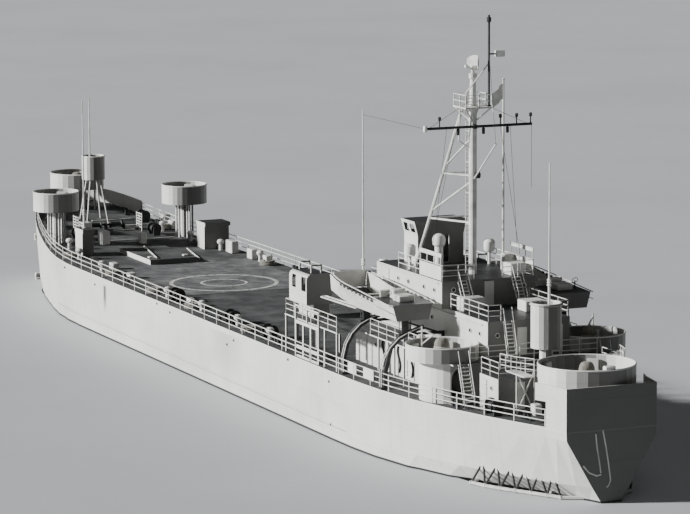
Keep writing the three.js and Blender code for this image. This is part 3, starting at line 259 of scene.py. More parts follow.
def dark_tops(made, coat, from_z, to_z):
    """Whatever faces up takes the colour named by coat: its share rises as the height of the surface's normal
    goes from from_z to to_z. Whatever faces aft is darkened as painted shade."""
    material, tree, _, colour, shader = made
    normal = put(tree, "NewGeometry").outputs["Normal"]
    facing = put(tree, "SeparateXYZ", None, {"Vector": normal})
    share = put(tree, "MapRange", None, {
        "Value": facing.outputs["Z"], "From Min": from_z, "From Max": to_z})
    mixed = put(tree, "Mix", MIX, {FACTOR: share.outputs["Result"], FIRST: colour, SECOND: linear(coat)})
    aft_shade = put(tree, "MapRange", None, {
        "Value": facing.outputs["X"], "From Min": -0.96, "From Max": -0.50, "To Min": 0.85, "To Max": 0.0})
    mixed = put(tree, "Mix", MIX, {
        FACTOR: aft_shade.outputs["Result"], FIRST: mixed.outputs[MIXED], SECOND: linear("#464644")})
    tree.links.new(mixed.outputs[MIXED], shader.inputs["Base Color"])
    return material


# Houses, tubs and lookouts: enamelled walls, with the decks' dark coating on their roofs and floors, and painted
# shade on faces that look aft
decked_enamel = dark_tops(plated(
    finish("haze_grey_enamel_dark_tops", "#d8d8d4", "#c2c2bd", 350.0, 5.0, 0.48, 0.25),
    0.24, 0.13, ("X", "Z"), 1.2, 0.14), "#303132", 0.80, 0.92)

# Non-skid deck coating: grit in a dark binder, trodden lighter; grit drawn 4 mm coarse so that it shows
deck_coating, tree, axes, colour, shader = plated(
    finish("nonskid_deck_coating", "#333435", "#5b5c5c", 190.0, 4.0, 0.88, 0.8),
    0.60, 0.24, ("X", "Y"), 2.0, 0.45)
# The landing area: coating worn lighter between two lines, with white rings and a dark line across the deck aft of
# it
PAD = {"x": 1.35, "aft": 0.88, "fore": 2.38, "half": 0.60}
RINGS = ((0.40, 0.015), (0.17, 0.010))
across = put(tree, "Math", UNSIGNED, {0: axes.outputs["Y"]})
aft_side = put(tree, "MapRange", None, {
    "Value": axes.outputs["X"], "From Min": PAD["aft"], "From Max": PAD["aft"] + 0.02, "To Max": 0.8})
fore_side = put(tree, "MapRange", None, {
    "Value": axes.outputs["X"], "From Min": PAD["fore"], "From Max": PAD["fore"] + 0.15,
    "To Min": 1.0, "To Max": 0.0})
beam = put(tree, "MapRange", None, {
    "Value": across.outputs["Value"], "From Min": PAD["half"], "From Max": PAD["half"] + 0.06,
    "To Min": 1.0, "To Max": 0.0})
on_pad = put(tree, "Math", TIMES, {0: aft_side.outputs["Result"], 1: fore_side.outputs["Result"]})
on_pad = put(tree, "Math", TIMES, {0: on_pad.outputs["Value"], 1: beam.outputs["Result"]})
lighter = put(tree, "Mix", {"data_type": "RGBA", "blend_type": "MULTIPLY"}, {
    FACTOR: 1.0, FIRST: colour, SECOND: (2.6, 2.6, 2.57, 1.0)})
colour = put(tree, "Mix", MIX, {
    FACTOR: on_pad.outputs["Value"], FIRST: colour, SECOND: lighter.outputs[MIXED]}).outputs[MIXED]
aft_dark_line = put(tree, "Math", CLOSE_TO, {0: axes.outputs["X"], 1: PAD["aft"] - 0.012, 2: 0.009})
coats = [(aft_dark_line.outputs["Value"], "#161616")]
centred = put(tree, "Math", MINUS, {0: axes.outputs["X"], 1: PAD["x"]})
flat = put(tree, "CombineXYZ", None, {"X": centred.outputs["Value"], "Y": axes.outputs["Y"]})
radius = put(tree, "VectorMath", {"operation": "LENGTH"}, {0: flat.outputs["Vector"]})
scuffs = put(tree, "TexNoise", None, {"Vector": flat.outputs["Vector"], "Scale": 30.0, "Detail": 4.0})
left = put(tree, "MapRange", None, {
    "Value": scuffs.outputs["Fac"], "From Min": 0.38, "From Max": 0.5, "To Min": 0.25, "To Max": 0.95})
for ring, half_line in RINGS:
    band = put(tree, "Math", CLOSE_TO, {0: radius.outputs["Value"], 1: ring, 2: half_line})
    share = put(tree, "Math", TIMES, {0: band.outputs["Value"], 1: left.outputs["Result"]})
    coats.append((share.outputs["Value"], "#cfcfca"))
for share, tone in coats:
    colour = put(tree, "Mix", MIX, {FACTOR: share, FIRST: colour, SECOND: linear(tone)}).outputs[MIXED]
# The plate's edges carry the hull's enamel, not the coating, darkened as painted shade where they face aft
normal = put(tree, "NewGeometry").outputs["Normal"]
facing = put(tree, "SeparateXYZ", None, {"Vector": normal})
edge = put(tree, "Math", {"operation": "LESS_THAN"}, {0: facing.outputs["Z"], 1: 0.3})
aft_shade = put(tree, "MapRange", None, {
    "Value": facing.outputs["X"], "From Min": -0.98, "From Max": -0.80, "To Min": 0.8, "To Max": 0.0})
edge_coat = put(tree, "Mix", MIX, {
    FACTOR: aft_shade.outputs["Result"], FIRST: linear("#d3d3cf"), SECOND: linear("#3b3b39")})
colour = put(tree, "Mix", MIX, {
    FACTOR: edge.outputs["Value"], FIRST: colour, SECOND: edge_coat.outputs[MIXED]}).outputs[MIXED]
tree.links.new(colour, shader.inputs["Base Color"])

# Black paint on steel fittings: deep and dull, greyed where hands and ropes rub it; also the painted shade of the
# boat coamings' slots
dark_steel = finish("black_painted_steel", "#1f2021", "#38393a", 60.0, 3.0, 0.62, 0.3)[0]
# Cast manganese bronze, ground smooth: a warm metal with soft swirls
bronze = finish("cast_manganese_bronze", "#a8834a", "#7c5f34", 50.0, 2.0, 0.36, 0.15, 1.0)[0]
# Galvanised tube rails, painted over many times: pale and slightly lumpy
rail_enamel = finish("white_rail_enamel", "#d9d9d5", "#a9a9a3", 120.0, 3.0, 0.5, 0.2)[0]
# Boat enamel on moulded plywood and steel: smooth, half gloss
boat_enamel = finish("pale_boat_enamel", "#d2d2cd", "#b4b4ad", 160.0, 4.0, 0.42, 0.15)[0]
# Boat shells: the same enamel outside, dull dark paint on whatever is trodden, and painted shade on faces that
# look aft
boat_shell = dark_tops(plated(
    finish("pale_boat_enamel_dark_bottom", "#d2d2cd", "#b4b4ad", 160.0, 4.0, 0.42, 0.15),
    0.20, 0.09, ("X", "Z"), 1.0, 0.08), "#3d3e3f", 0.75, 0.9)
# Propeller guards: the rail is enamelled, its braces above are black with weed and shade
guard_enamel, tree, place, colour, shader, _ = finish(
    "propeller_guard_enamel", "#d0d0cb", "#9c9c95", 60.0, 3.0, 0.55, 0.3)
axes = put(tree, "SeparateXYZ", None, {"Vector": place})
above = put(tree, "MapRange", None, {"Value": axes.outputs["Z"], "From Min": 0.338, "From Max": 0.344})
mixed = put(tree, "Mix", MIX, {FACTOR: above.outputs["Result"], FIRST: colour, SECOND: linear("#2a2a28")})
tree.links.new(mixed.outputs[MIXED], shader.inputs["Base Color"])
# Tarred wire rope and blackened fittings, and the painted shade in the overboard bores: nearly black, with a faint
# greasy light on it
tarred_wire = finish("tarred_wire_rope", "#19191a", "#2e2e2f", 20.0, 1.5, 0.7, 0.2)[0]
# Window plate glass: near black, painted shade standing for the dark room behind it, with a sharp reflection on it
window_glass = finish("dark_window_glass", "#0d0f11", "#16181b", 80.0, 20.0, 0.14, 0.02)[0]
# White signal enamel, glossier than the grey
white_enamel = finish("white_signal_enamel", "#e9e9e6", "#cfcfca", 60.0, 3.0, 0.38, 0.1)[0]

# Duck canvas: threads drawn 3 mm coarse so that they show, faded in patches, in soft ripples each way that
# are 19 mm apart, because a wave texture repeats every 0.314 m over its scale
RIPPLE_SCALE = 0.314 / 0.01884
canvas, tree, place, _, shader, bump = finish(
    "weathered_duck_canvas", "#6d6b62", "#8f8d84", 40.0, 3.0, 0.93, 0.4)
for axis in ("Z", "X"):
    ripple = put(tree, "TexWave", {"bands_direction": axis}, {"Vector": place, "Scale": RIPPLE_SCALE})
    bump = put(tree, "Bump", None, {
        "Height": ripple.outputs["Fac"], "Strength": 0.35, "Distance": 0.0005, "Normal": bump.outputs["Normal"]})
tree.links.new(bump.outputs["Normal"], shader.inputs["Normal"])
shader.inputs["Sheen Weight"].default_value = 0.15
# Wool bunting of the plain flag: thin, soft, with a bloom of stray fibres
bunting, _, _, _, shader, _ = finish("white_wool_bunting", "#e6e6e2", "#cccbc5", 30.0, 2.0, 0.9, 0.2)
shader.inputs["Sheen Weight"].default_value = 0.3

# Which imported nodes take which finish; davits are black, and whatever isn't named has dark tops
FINISH = {}
for coat, names in [
        (hull_enamel, "hull bow_door_port bow_door_stbd rudder_port rudder_stbd stern_plating bow_bulwark"),
        (deck_coating, "main_deck boat_deck hatch_cover"),
        (dark_steel, "bow_ramp yard topmast stern_winch"),
        (bronze, "propeller_port propeller_stbd shaft_port shaft_stbd"),
        (boat_shell, "landing_boat_port landing_boat_stbd"),
        (guard_enamel, "propeller_guard_port propeller_guard_stbd"),
        (rail_enamel, "guard_rail_port guard_rail_stbd radar_antenna radar_pedestal"),
        (rail_enamel, "mast_pole mast_legs mast_platform"),
        (boat_enamel, "boat_ramp_port boat_ramp_stbd")]:
    FINISH.update(dict.fromkeys(names.split(), coat))
for name, node in nodes.items():
    coat = FINISH.get(name, dark_steel if name.startswith("davit") else decked_enamel)
    node.data.materials.clear()
    node.data.materials.append(canvas if name.startswith("covered_pedestal") else coat)


# Shapes: each returns points and blocks of faces, worked out as whole arrays
def unit(rows):
    """Rows of vectors, each divided by its own length."""
    return rows / np.linalg.norm(rows, axis=-1, keepdims=True)


def row(x, y, z):
    """Points from three coordinates, each of them one number or an array."""
    return np.stack(np.broadcast_arrays(x, y, z), -1).astype(float)


def rods(a, b, radius, sides=6):
    """Straight round bars from a to b: a ring at each end is r (cos u n + sin u m), n and m square to the bar."""
    a, b = np.atleast_2d(np.array(a, float)), np.atleast_2d(np.array(b, float))
    along = unit(b - a)
    across = np.where(np.abs(along[:, 2:]) > 0.9, [[1.0, 0.0, 0.0]], [[0.0, 0.0, 1.0]])
    n = unit(np.cross(along, across))
    m = np.cross(along, n)
    u = np.linspace(0.0, 2.0 * np.pi, sides, endpoint=False)[None, :, None]
    ring = radius * (np.cos(u) * n[:, None] + np.sin(u) * m[:, None])
    points = np.stack([a[:, None] + ring, b[:, None] + ring], 1).reshape(-1, 3)
    first = 2 * sides * np.arange(len(a))
    i = np.arange(sides)
    j = (i + 1) % sides
    walls = (first[:, None, None] + np.stack([i, j, j + sides, i + sides], 1)[None]).reshape(-1, 4)
    return points, [walls, first[:, None] + i, first[:, None] + sides + i]


def spans(runs, radius, sides=6):
    """Straight round bars, one from each run's first point to its second."""
    return rods([a for a, _ in runs], [b for _, b in runs], radius, sides)


def tube(path, radius, sides=8):
    """A round section carried along a path: at each point the ring stands square to the run through it."""
    path = np.array(path, float)
    along = unit(np.gradient(path, axis=0))
    flat = np.argmin(np.abs(along).sum(0))
    n = unit(np.cross(along, np.eye(3)[flat]))
    m = np.cross(along, n)
    u = np.linspace(0.0, 2.0 * np.pi, sides, endpoint=False)[None, :, None]
    points = (path[:, None] + radius * (np.cos(u) * n[:, None] + np.sin(u) * m[:, None])).reshape(-1, 3)
    return points, wrap(len(path), sides, True)


def wrap(rings, sides, capped):
    """Faces of a skin of rings by sides points; capped closes its ends, or else the last ring joins the first
    one."""
    rows = np.arange(rings - 1 if capped else rings)[:, None]
    i = np.arange(sides)
    j = (i + 1) % sides
    here, there = rows * sides, (rows + 1) % rings * sides
    walls = np.stack([here + i, here + j, there + j, there + i], 2).reshape(-1, 4)
    return [walls, i[None], i[None] + (rings - 1) * sides] if capped else [walls]


def lathe(profile, centre, sides=28, ring=False):
    """A profile of (radius, height) turned about the upright line through centre: (r cos u, r sin u, z). With
    ring its last point joins its first; otherwise both ends are closed flat."""
    profile = np.array(profile, float)
    u = np.linspace(0.0, 2.0 * np.pi, sides, endpoint=False)
    r, z = profile[:, :1], profile[:, 1:]
    points = row(r * np.cos(u), r * np.sin(u), z).reshape(-1, 3)
    return points + np.array(centre, float), wrap(len(profile), sides, not ring)


def hoop(centre, radius, bar, sides):
    """A level ring of round bar: a circle of radius bar, turned about the upright line through centre."""
    u = np.linspace(0.0, 2.0 * np.pi, 8, endpoint=False)
    return lathe(np.stack([radius + bar * np.cos(u), bar * np.sin(u)], 1), centre, sides, True)


def blocks(low, high, chamfer=0.002):
    """Plates and boxes with every edge cut back: four level rings of eight points, the outer two drawn in."""
    low, high = np.atleast_2d(np.array(low, float)), np.atleast_2d(np.array(high, float))
    c = np.minimum(chamfer, (high - low).min(1) * 0.35)[:, None]
    right = np.array([1, 1, 1, 0, 0, 0, 0, 1])
    upper = np.array([0, 1, 1, 1, 1, 0, 0, 0])
    cut_x = np.array([0, 0, -1, 1, 0, 0, 1, -1])
    cut_y = np.array([1, -1, 0, 0, -1, 1, 0, 0])
    rings = []
    for draw, top in ((1.0, 0), (0.0, 0), (0.0, 1), (1.0, 1)):
        inner_low, inner_high = low + c * draw, high - c * draw
        x = np.where(right, inner_high[:, :1], inner_low[:, :1]) + c * cut_x
        y = np.where(upper, inner_high[:, 1:2], inner_low[:, 1:2]) + c * cut_y
        z = high[:, 2:] - c * (1.0 - draw) if top else low[:, 2:] + c * (1.0 - draw)
        rings.append(row(x, y, z))
    points = np.stack(rings, 1).reshape(-1, 3)
    first = 32 * np.arange(len(low))[:, None]
    walls, foot, head = wrap(4, 8, True)
    return points, [(first[:, :, None] + walls[None]).reshape(-1, 4), first + foot, first + head]


def turned(part, centre, degrees, axis="Z"):
    """A part turned about a line through centre, along the named axis."""
    c, s = math.cos(math.radians(degrees)), math.sin(math.radians(degrees))
    turn = {"Z": [[c, -s, 0], [s, c, 0], [0, 0, 1]], "Y": [[c, 0, s], [0, 1, 0], [-s, 0, c]],
            "X": [[1, 0, 0], [0, c, -s], [0, s, c]]}[axis]
    return (part[0] - np.array(centre)) @ np.array(turn, float).T + np.array(centre), part[1]


def both(part):
    """A part and its mirror image to starboard."""
    points, faces = part
    mirrored = points * [1.0, -1.0, 1.0]
    return np.concatenate([points, mirrored]), [np.concatenate([f, f + len(points)]) for f in faces]


def surface(name, points, faces, coat):
    """A smooth mesh object of one material; it sits at the origin, with its place in its points."""
    data = bpy.data.meshes.new(name)
    data.from_pydata(points.tolist(), [], faces)
    data.polygons.foreach_set("use_smooth", np.ones(len(data.polygons), bool))
    data.materials.append(coat)
    piece = bpy.data.objects.new(name, data)
    bpy.context.scene.collection.objects.link(piece)
    return piece


def shell(name, parts, coat, body="ship"):
    """One piece of several closed shapes: their points are laid end to end, their faces turned outwards."""
    faces, base = [], 0
    for points, groups in parts:
        for group in groups:
            faces += (group + base).tolist()
        base += len(points)
    piece = surface(name, np.concatenate([p for p, _ in parts]), faces, coat)
    work = bmesh.new()
    work.from_mesh(piece.data)
    bmesh.ops.recalc_face_normals(work, faces=work.faces)
    work.to_mesh(piece.data)
    work.free()
    piece.data.set_sharp_from_angle(angle=ROUND_OVER)
    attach(piece, body)


def level(z, *lines):
    """The straight runs of open lines of (x, y) points, all at one height."""
    return [((*p, z), (*q, z)) for line in lines for p, q in zip(line[:-1], line[1:])]


def railing(runs, height=0.102, bars=3, pitch=0.15):
    """Guard rails along straight runs: posts at an even pitch, bars at even heights up to the top one."""
    a, b = [], []
    for start, end in np.array(runs, float):
        count = max(1, math.ceil(np.linalg.norm(end - start) / pitch))
        foot = start + (end - start) * np.linspace(0.0, 1.0, count + 1)[:, None]
        lift = np.linspace(0.0, height, bars + 1)[1:, None] * [[0.0, 0.0, 1.0]]
        a += [foot, start + lift]
        b += [foot + [0.0, 0.0, height], end + lift]
    return rods(np.concatenate(a), np.concatenate(b), RAIL)


def ladder(foot, head, half, pitch, radius):
    """Two stringers and rungs at an even pitch between foot and head; half is its half width along Y."""
    foot, head, side = np.array(foot, float), np.array(head, float), np.array([0.0, half, 0.0])
    steps = np.arange(pitch / 2, np.linalg.norm(head - foot), pitch)[:, None] * unit(head - foot)
    rungs = foot + steps
    return rods(np.concatenate([[foot - side, foot + side], rungs - side]),
                np.concatenate([[head - side, head + side], rungs + side]), radius)


def arc(centre, radius, degrees):
    """A point of a level circle at a bearing, in degrees from the bow towards port."""
    u = math.radians(degrees)
    return np.array(centre, float) + radius * np.array([math.cos(u), math.sin(u), 0.0])


# Guard rails of the upper decks: the side runs are mirrored to starboard
sides = level(BOAT_DECK, [(-1.657, 0.506), (-1.657, 0.728), (-2.52, 0.728)],
              [(-1.657, 0.506), (-1.84, 0.506)], [(-2.67, 0.553), (-3.19, 0.553)],
              [(-3.27, 0.553), (-3.44, 0.553)], [(-3.944, 0.19), (-3.944, 0.44)])
cross = level(BOAT_DECK, [(-1.847, -0.49), (-1.847, 0.49)], [(-3.944, -0.1), (-3.944, 0.1)])
shell("boat_deck_rails", [both(railing(sides)), railing(cross)], rail_enamel)
bridge = (level(ROOF, [(-2.60, 0.32), (-3.28, 0.32), (-3.28, 0.10)])
          + level(HOUSE_TOP, [(-3.31, 0.276), (-3.86, 0.276), (-3.86, 0.19)],
                  [(-2.26, 0.276), (-2.06, 0.276), (-2.06, 0.0)]))
shell("bridge_rails", [both(railing(bridge))], rail_enamel)
aft_walk = level(AFT_TOP, [(-4.302, 0.12), (-4.302, 0.417), (-4.058, 0.417)])
shell("aft_house_rails", [both(railing(aft_walk))], rail_enamel)

# Dodgers on the bridge roof: a low plate, a gap with posts and a top plate on each side
dodgers = blocks([(-3.27, 0.321, ROOF + 0.004), (-3.27, 0.321, ROOF + 0.150)],
                 [(-2.94, 0.327, ROOF + 0.095), (-2.94, 0.327, ROOF + 0.178)])
post_x = np.linspace(-3.26, -2.95, 4)
dodger_posts = rods(row(post_x, 0.324, ROOF), row(post_x, 0.324, ROOF + 0.17), 0.004)
shell("bridge_dodgers", [both(dodgers), both(dodger_posts)], house_enamel)

# Rim tubes of the tubs (name, x, y, radius, height) and of the two round lookouts
TUBS = [("bow_centre", 4.720, 0.0, 0.225, 1.237), ("bow_port", 3.640, 0.553, 0.185, 1.227),
        ("bow_stbd", 3.640, -0.553, 0.185, 1.227), ("mid_port", -3.690, 0.515, 0.230, 1.119),
        ("mid_stbd", -3.690, -0.515, 0.230, 1.119), ("stern", -4.660, 0.0, 0.300, 1.112)]
LOOKOUTS = [(4.300, 0.0, 0.095, 1.419), (-4.110, 0.0, 0.097, 1.399)]
shell("tub_rims", [hoop((x, y, rim), reach - 0.003, 0.0055, 40)
                   for x, y, reach, rim in [t[1:] for t in TUBS] + LOOKOUTS], house_enamel)

# Lockers round the inside of each tub
ready = []
for _, x, y, reach, rim in TUBS:
    for bearing in (35.0, 145.0, 215.0, 325.0):
        at = arc((x, y, rim - 0.055), reach - 0.030, bearing)
        ready.append(turned(blocks(at - [0.012, 0.035, 0.045], at + [0.012, 0.035, 0.035]), at, bearing))
shell("ready_lockers", ready, house_enamel)

# Whip aerials (x, y, foot, tip, post height): flange, stacked insulators, then a long taper
WHIPS = [(3.150, 0.487, 0.988, 2.007, 0.10), (4.300, 0.030, 1.236, 1.907, 0.10),
         (-2.000, 0.310, BOAT_DECK, 2.417, 0.342), (-4.110, -0.020, 1.131, 2.270, 0.37)]
whips, holders = [], []
for x, y, foot, tip, post in WHIPS:
    holders.append(lathe([(0.018, 0.0), (0.018, 0.005), (0.009, 0.008), (0.008, post)], (x, y, foot), 12))
    discs = [(0.016 if k % 2 else 0.009, post + 0.008 * k) for k in range(1, 7)]
    holders.append(lathe([(0.008, post), *discs, (0.006, post + 0.056)], (x, y, foot), 12))
    taper = [(0.0075, post + 0.05), (0.0060, (tip - foot) * 0.6), (0.0040, tip - foot)]
    whips.append(lathe(taper, (x, y, foot), 8))
shell("whip_aerials", whips, rail_enamel)
shell("aerial_mounts", holders, white_enamel)

# Ensign staff on the bridge roof, with a truck at its head, and the plain flag that hangs from it
STAFF = (-2.930, -0.275)
staff = [(0.010, 0.0), (0.010, 0.01), (0.0085, 0.02), (0.0065, 1.230), (0.010, 1.234), (0.006, 1.240)]
shell("ensign_staff", [lathe(staff, (*STAFF, ROOF), 10)], rail_enamel)


def plain_flag():
    """A flag hung from its hoist: across it, x and y sway as the sine of three folds that widen to the fly,
    and the fly sinks with a power of its distance from the staff."""
    width, hoist, top = 0.150, 0.100, ROOF + 1.207
    u, v = np.meshgrid(np.linspace(0.0, 1.0, 41), np.linspace(0.0, 1.0, 17), indexing="ij")
    fold = 0.013 * u * np.sin(3.0 * np.pi * u + 0.8 * v)
    out = 0.72 * width * u
    x = STAFF[0] - 0.006 - out * 0.35 + fold
    y = STAFF[1] + 0.006 + out * 0.90 + fold * 0.6
    z = top - hoist * v - 0.085 * u ** 1.6
    i = (np.arange(40)[:, None] * 17 + np.arange(16)).reshape(-1)
    faces = np.stack([i, i + 17, i + 18, i + 1], 1)
    piece = surface("plain_flag", row(x, y, z).reshape(-1, 3), faces.tolist(), bunting)
    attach(piece, "ship")


plain_flag()

# A pedestal's canvas cover: (radius, height) from its hem to its crown
COVER = np.array([(0.0585, 0.0), (0.0570, 0.016), (0.0580, 0.032), (0.0530, 0.052), (0.0478, 0.064),
                  (0.0486, 0.076), (0.0455, 0.092), (0.0400, 0.106), (0.0330, 0.115), (0.0220, 0.120),
                  (0.0100, 0.1222), (0.0020, 0.1228)])
COVER_SIDES = 72


def pedestal_cover(name, x, y, floor):
    """An open-bottomed hood: the profile of the pedestal below, its radius rippled by twelve pleats that fade
    towards the crown, and a waist pulled in by a lashing."""
    u = np.linspace(0.0, 2.0 * np.pi, COVER_SIDES, endpoint=False)
    r, z = COVER[:, :1], COVER[:, 1:]
    ripple = 1.0 + 0.052 * np.clip(1.0 - z / 0.11, 0.0, 1.0) * np.cos(12.0 * u + 9.0 * z)
    points = row(x + r * ripple * np.cos(u), y + r * ripple * np.sin(u),
                 floor + z + 0.0015 * np.cos(6.0 * u) * (1.0 - z / 0.123))
    walls, _, head = wrap(len(COVER), COVER_SIDES, True)
    piece = surface(name, points.reshape(-1, 3), walls.tolist() + head.tolist(), canvas)
    cloth = piece.modifiers.new("cloth", "SOLIDIFY")
    cloth.thickness = 0.0012
    cloth.offset = -1.0
    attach(piece, "ship")
    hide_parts(name.replace("cover_", "covered_pedestal_"))


lashings = []
for tag, x, y, _, _ in TUBS:
    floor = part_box("covered_pedestal_" + tag)[0][2]
    pedestal_cover("cover_" + tag, x, y, floor + 0.0015)
    lashings.append(hoop((x, y, floor + 0.066), 0.0500, 0.0016, 36))
shell("cover_lashings", lashings, rail_enamel)

# Mast: ladder up its fore side with ties to the pole, brackets below the platform
shell("mast_ladder", [ladder((-2.985, 0.0, ROOF), (-2.985, 0.0, 2.505), 0.020, 0.029, 0.0026)], rail_enamel)
tie_z = np.arange(ROOF + 0.12, 2.45, 0.20)
brackets = [((-3.05, 0.0, 2.41), (-2.965, 0.085, 2.512)), ((-3.05, 0.0, 2.41), (-3.135, 0.085, 2.512)),
            ((-3.05, 0.0, 2.41), (-3.135, -0.085, 2.512)), ((-3.05, 0.0, 2.41), (-2.965, -0.085, 2.512)),
            ((-3.05, 0.09, 2.52), (-3.03, 0.09, 2.30)), ((-3.03, 0.09, 2.30), (-3.05, 0.02, 2.25)),
            ((-3.12, -0.08, 2.80), (-3.06, 0.06, 2.60))]
ties = rods(row(-2.985, 0.018, tie_z), row(-3.045, 0.018, tie_z), 0.003)
shell("mast_brackets", [ties, spans(brackets, 0.005)], rail_enamel)

# Lights that stand on the yard and hang from it, one on the topmast and one on the pole
YARD_X = -3.0825
YARD_Z = 2.392
standing = [(0.004, 0.0), (0.004, 0.04), (0.010, 0.045), (0.011, 0.062), (0.006, 0.068)]
hanging = [(0.008, -0.05), (0.010, -0.046), (0.010, -0.012), (0.004, -0.008)]
lamps = [lathe(standing, (YARD_X, y, YARD_Z + 0.006), 10) for y in (0.250, -0.180, -0.295, -0.395)]
lamps.append(lathe([(0.009, 0.0), (0.015, 0.004), (0.015, 0.03), (0.006, 0.034)], (-3.12, -0.08, 3.060), 10))
lamps.append(lathe([(0.012, 0.0), (0.016, 0.01), (0.016, 0.03), (0.008, 0.04)], (-3.090, -0.02, 2.060), 10))
lamps += [lathe(hanging, (YARD_X, y, YARD_Z), 10) for y in (0.120, -0.060, -0.230)]
shell("mast_lights", lamps, dark_steel)
drum = [(0.010, 0.0), (0.014, 0.01), (0.014, 0.03), (0.010, 0.04)]
shell("topmast_box", [blocks((-3.140, -0.185, 2.838), (-3.104, -0.125, 2.878)),
                      lathe(drum, (YARD_X, 0.350, YARD_Z - 0.02), 10)], white_enamel)

# Taut rigging: the wire aerial, a pendant, halyards, lifts and a stay; each ends at what holds it
wires = [((YARD_X, 0.348, YARD_Z), (-2.000, 0.310, 2.380)), ((YARD_X, -0.402, 2.385), (YARD_X, -0.402, 1.98))]
wires += [((YARD_X, y, 2.385), (x, math.copysign(0.315, y), ROOF + 0.10))
          for y, x in ((0.200, -3.10), (0.140, -3.06), (-0.180, -3.10), (-0.250, -3.06))]
wires += [((YARD_X, 0.330, YARD_Z), (-3.05, 0.012, 2.56)), ((YARD_X, -0.380, YARD_Z), (-3.05, -0.012, 2.56)),
          ((-3.39, 0.0, 2.31), (-3.12, -0.078, 2.90))]
shell("taut_rigging", [spans(wires, 0.0013, 5)], tarred_wire)

# Bridge fittings: ventilator, signal lamps on posts, flag lockers
vent = [(0.036, 0.0), (0.036, 0.012), (0.028, 0.02), (0.028, 0.17), (0.040, 0.18), (0.044, 0.215),
        (0.034, 0.242), (0.012, 0.252)]
lamp_post = [(0.010, 0.0), (0.010, 0.08), (0.030, 0.085), (0.038, 0.10), (0.038, 0.15), (0.024, 0.165)]
shell("bridge_ventilator", [lathe(vent, (-2.900, 0.170, ROOF), 20)], house_enamel)
shell("signal_lamps", [both(lathe(lamp_post, (-2.700, 0.285, ROOF), 16)),
                       both(lathe(lamp_post, (-2.140, 0.225, HOUSE_TOP), 16))], white_enamel)
chests = blocks([(-3.24, -0.29, ROOF), (-3.02, -0.30, ROOF), (-2.30, 0.14, HOUSE_TOP),
                 (-3.44, 0.10, HOUSE_TOP), (-3.62, -0.24, HOUSE_TOP)],
                [(-3.12, -0.18, ROOF + 0.08), (-2.96, -0.24, ROOF + 0.11), (-2.275, 0.26, HOUSE_TOP + 0.10),
                 (-3.34, 0.25, HOUSE_TOP + 0.085), (-3.50, -0.10, HOUSE_TOP + 0.07)], 0.004)
shell("flag_lockers", [chests], house_enamel)

# Inclined ladders with hand rails: roof to house top, house top to boat deck, boat deck to main deck
STAIRS = [((-3.400, 0.190, HOUSE_TOP), (-3.292, 0.190, ROOF), 0.030),
          ((-3.945, 0.150, BOAT_DECK), (-3.872, 0.150, HOUSE_TOP), 0.030),
          ((-4.040, 0.490, DECK), (-3.952, 0.490, BOAT_DECK), 0.035)]
grip = np.array([0.0, 0.0, 0.085])
steps = []
for foot, head, half in STAIRS:
    side = np.outer(SIDES, (0.0, half, 0.0))
    feet, heads = foot + side, head + side
    steps.append(both(ladder(foot, head, half, 0.024, 0.0036)))
    steps.append(both(rods(feet + grip, heads + grip, 0.003)))
    steps.append(both(rods(feet, feet + grip, 0.003)))
shell("inclined_ladders", steps, rail_enamel)

# Doors and portholes: each house's half width and foot, then their x on its sides, or their y on an aft face
HOUSES = [(0.430, DECK, (-2.30, -2.95, -3.30), (-2.48, -2.70, -3.12, -3.60)),
          (0.285, BOAT_DECK, (-2.18, -3.42), (-2.36, -2.55, -2.80, -3.05, -3.62, -3.76)),
          (0.330, HOUSE_TOP - 0.04, (-2.44,), (-2.62, -2.78, -3.02, -3.18)),
          (0.425, DECK, (-4.12,), (-4.22,))]
AFT_FACES = [(-3.870, BOAT_DECK, (0.05, -0.20), (0.22,)), (-4.310, DECK, (0.28, -0.28), (0.12, -0.12)),
             (-3.290, HOUSE_TOP - 0.03, (0.0,), (0.25, -0.25))]
DOOR_HALF = 0.034
DOOR_SILL = 0.022
DOOR_HEAD = 0.192
DOOR_THICK = 0.006
DOGS = np.array([0.05, 0.105, 0.16])
PORT_UP = 0.150


def porthole(centre, out):
    """A round rim and, proud of it, a round pane, both along the unit vector out."""
    centre, out = np.array(centre), np.array(out)
    return (rods(centre - 0.001 * out, centre + 0.005 * out, 0.0165, 16),
            rods(centre, centre + 0.0062 * out, 0.0115, 16))


doors, rims, panes = [], [], []
for half, foot, door_x, port_x in HOUSES:
    for x in door_x:
        doors.append(both(blocks((x - DOOR_HALF, half, foot + DOOR_SILL),
                                 (x + DOOR_HALF, half + DOOR_THICK, foot + DOOR_HEAD), 0.006)))
        rims.append(both(rods(row(x - 0.026, half + 0.008, foot + DOGS),
                              row(x - 0.012, half + 0.008, foot + DOGS), 0.0028)))
    for x in port_x:
        rim, pane = porthole((x, half, foot + PORT_UP), (0.0, 1.0, 0.0))
        rims.append(both(rim))
        panes.append(both(pane))
for x, foot, door_y, port_y in AFT_FACES:
    for y in door_y:
        doors.append(blocks((x - DOOR_THICK, y - DOOR_HALF, foot + DOOR_SILL),
                            (x, y + DOOR_HALF, foot + DOOR_HEAD), 0.006))
    for y in port_y:
        rim, pane = porthole((x, y, foot + PORT_UP), (-1.0, 0.0, 0.0))
        rims.append(rim)
        panes.append(pane)
shell("house_doors", doors, house_enamel)
shell("port_rims", rims, rail_enamel)
shell("port_glass", panes, window_glass)

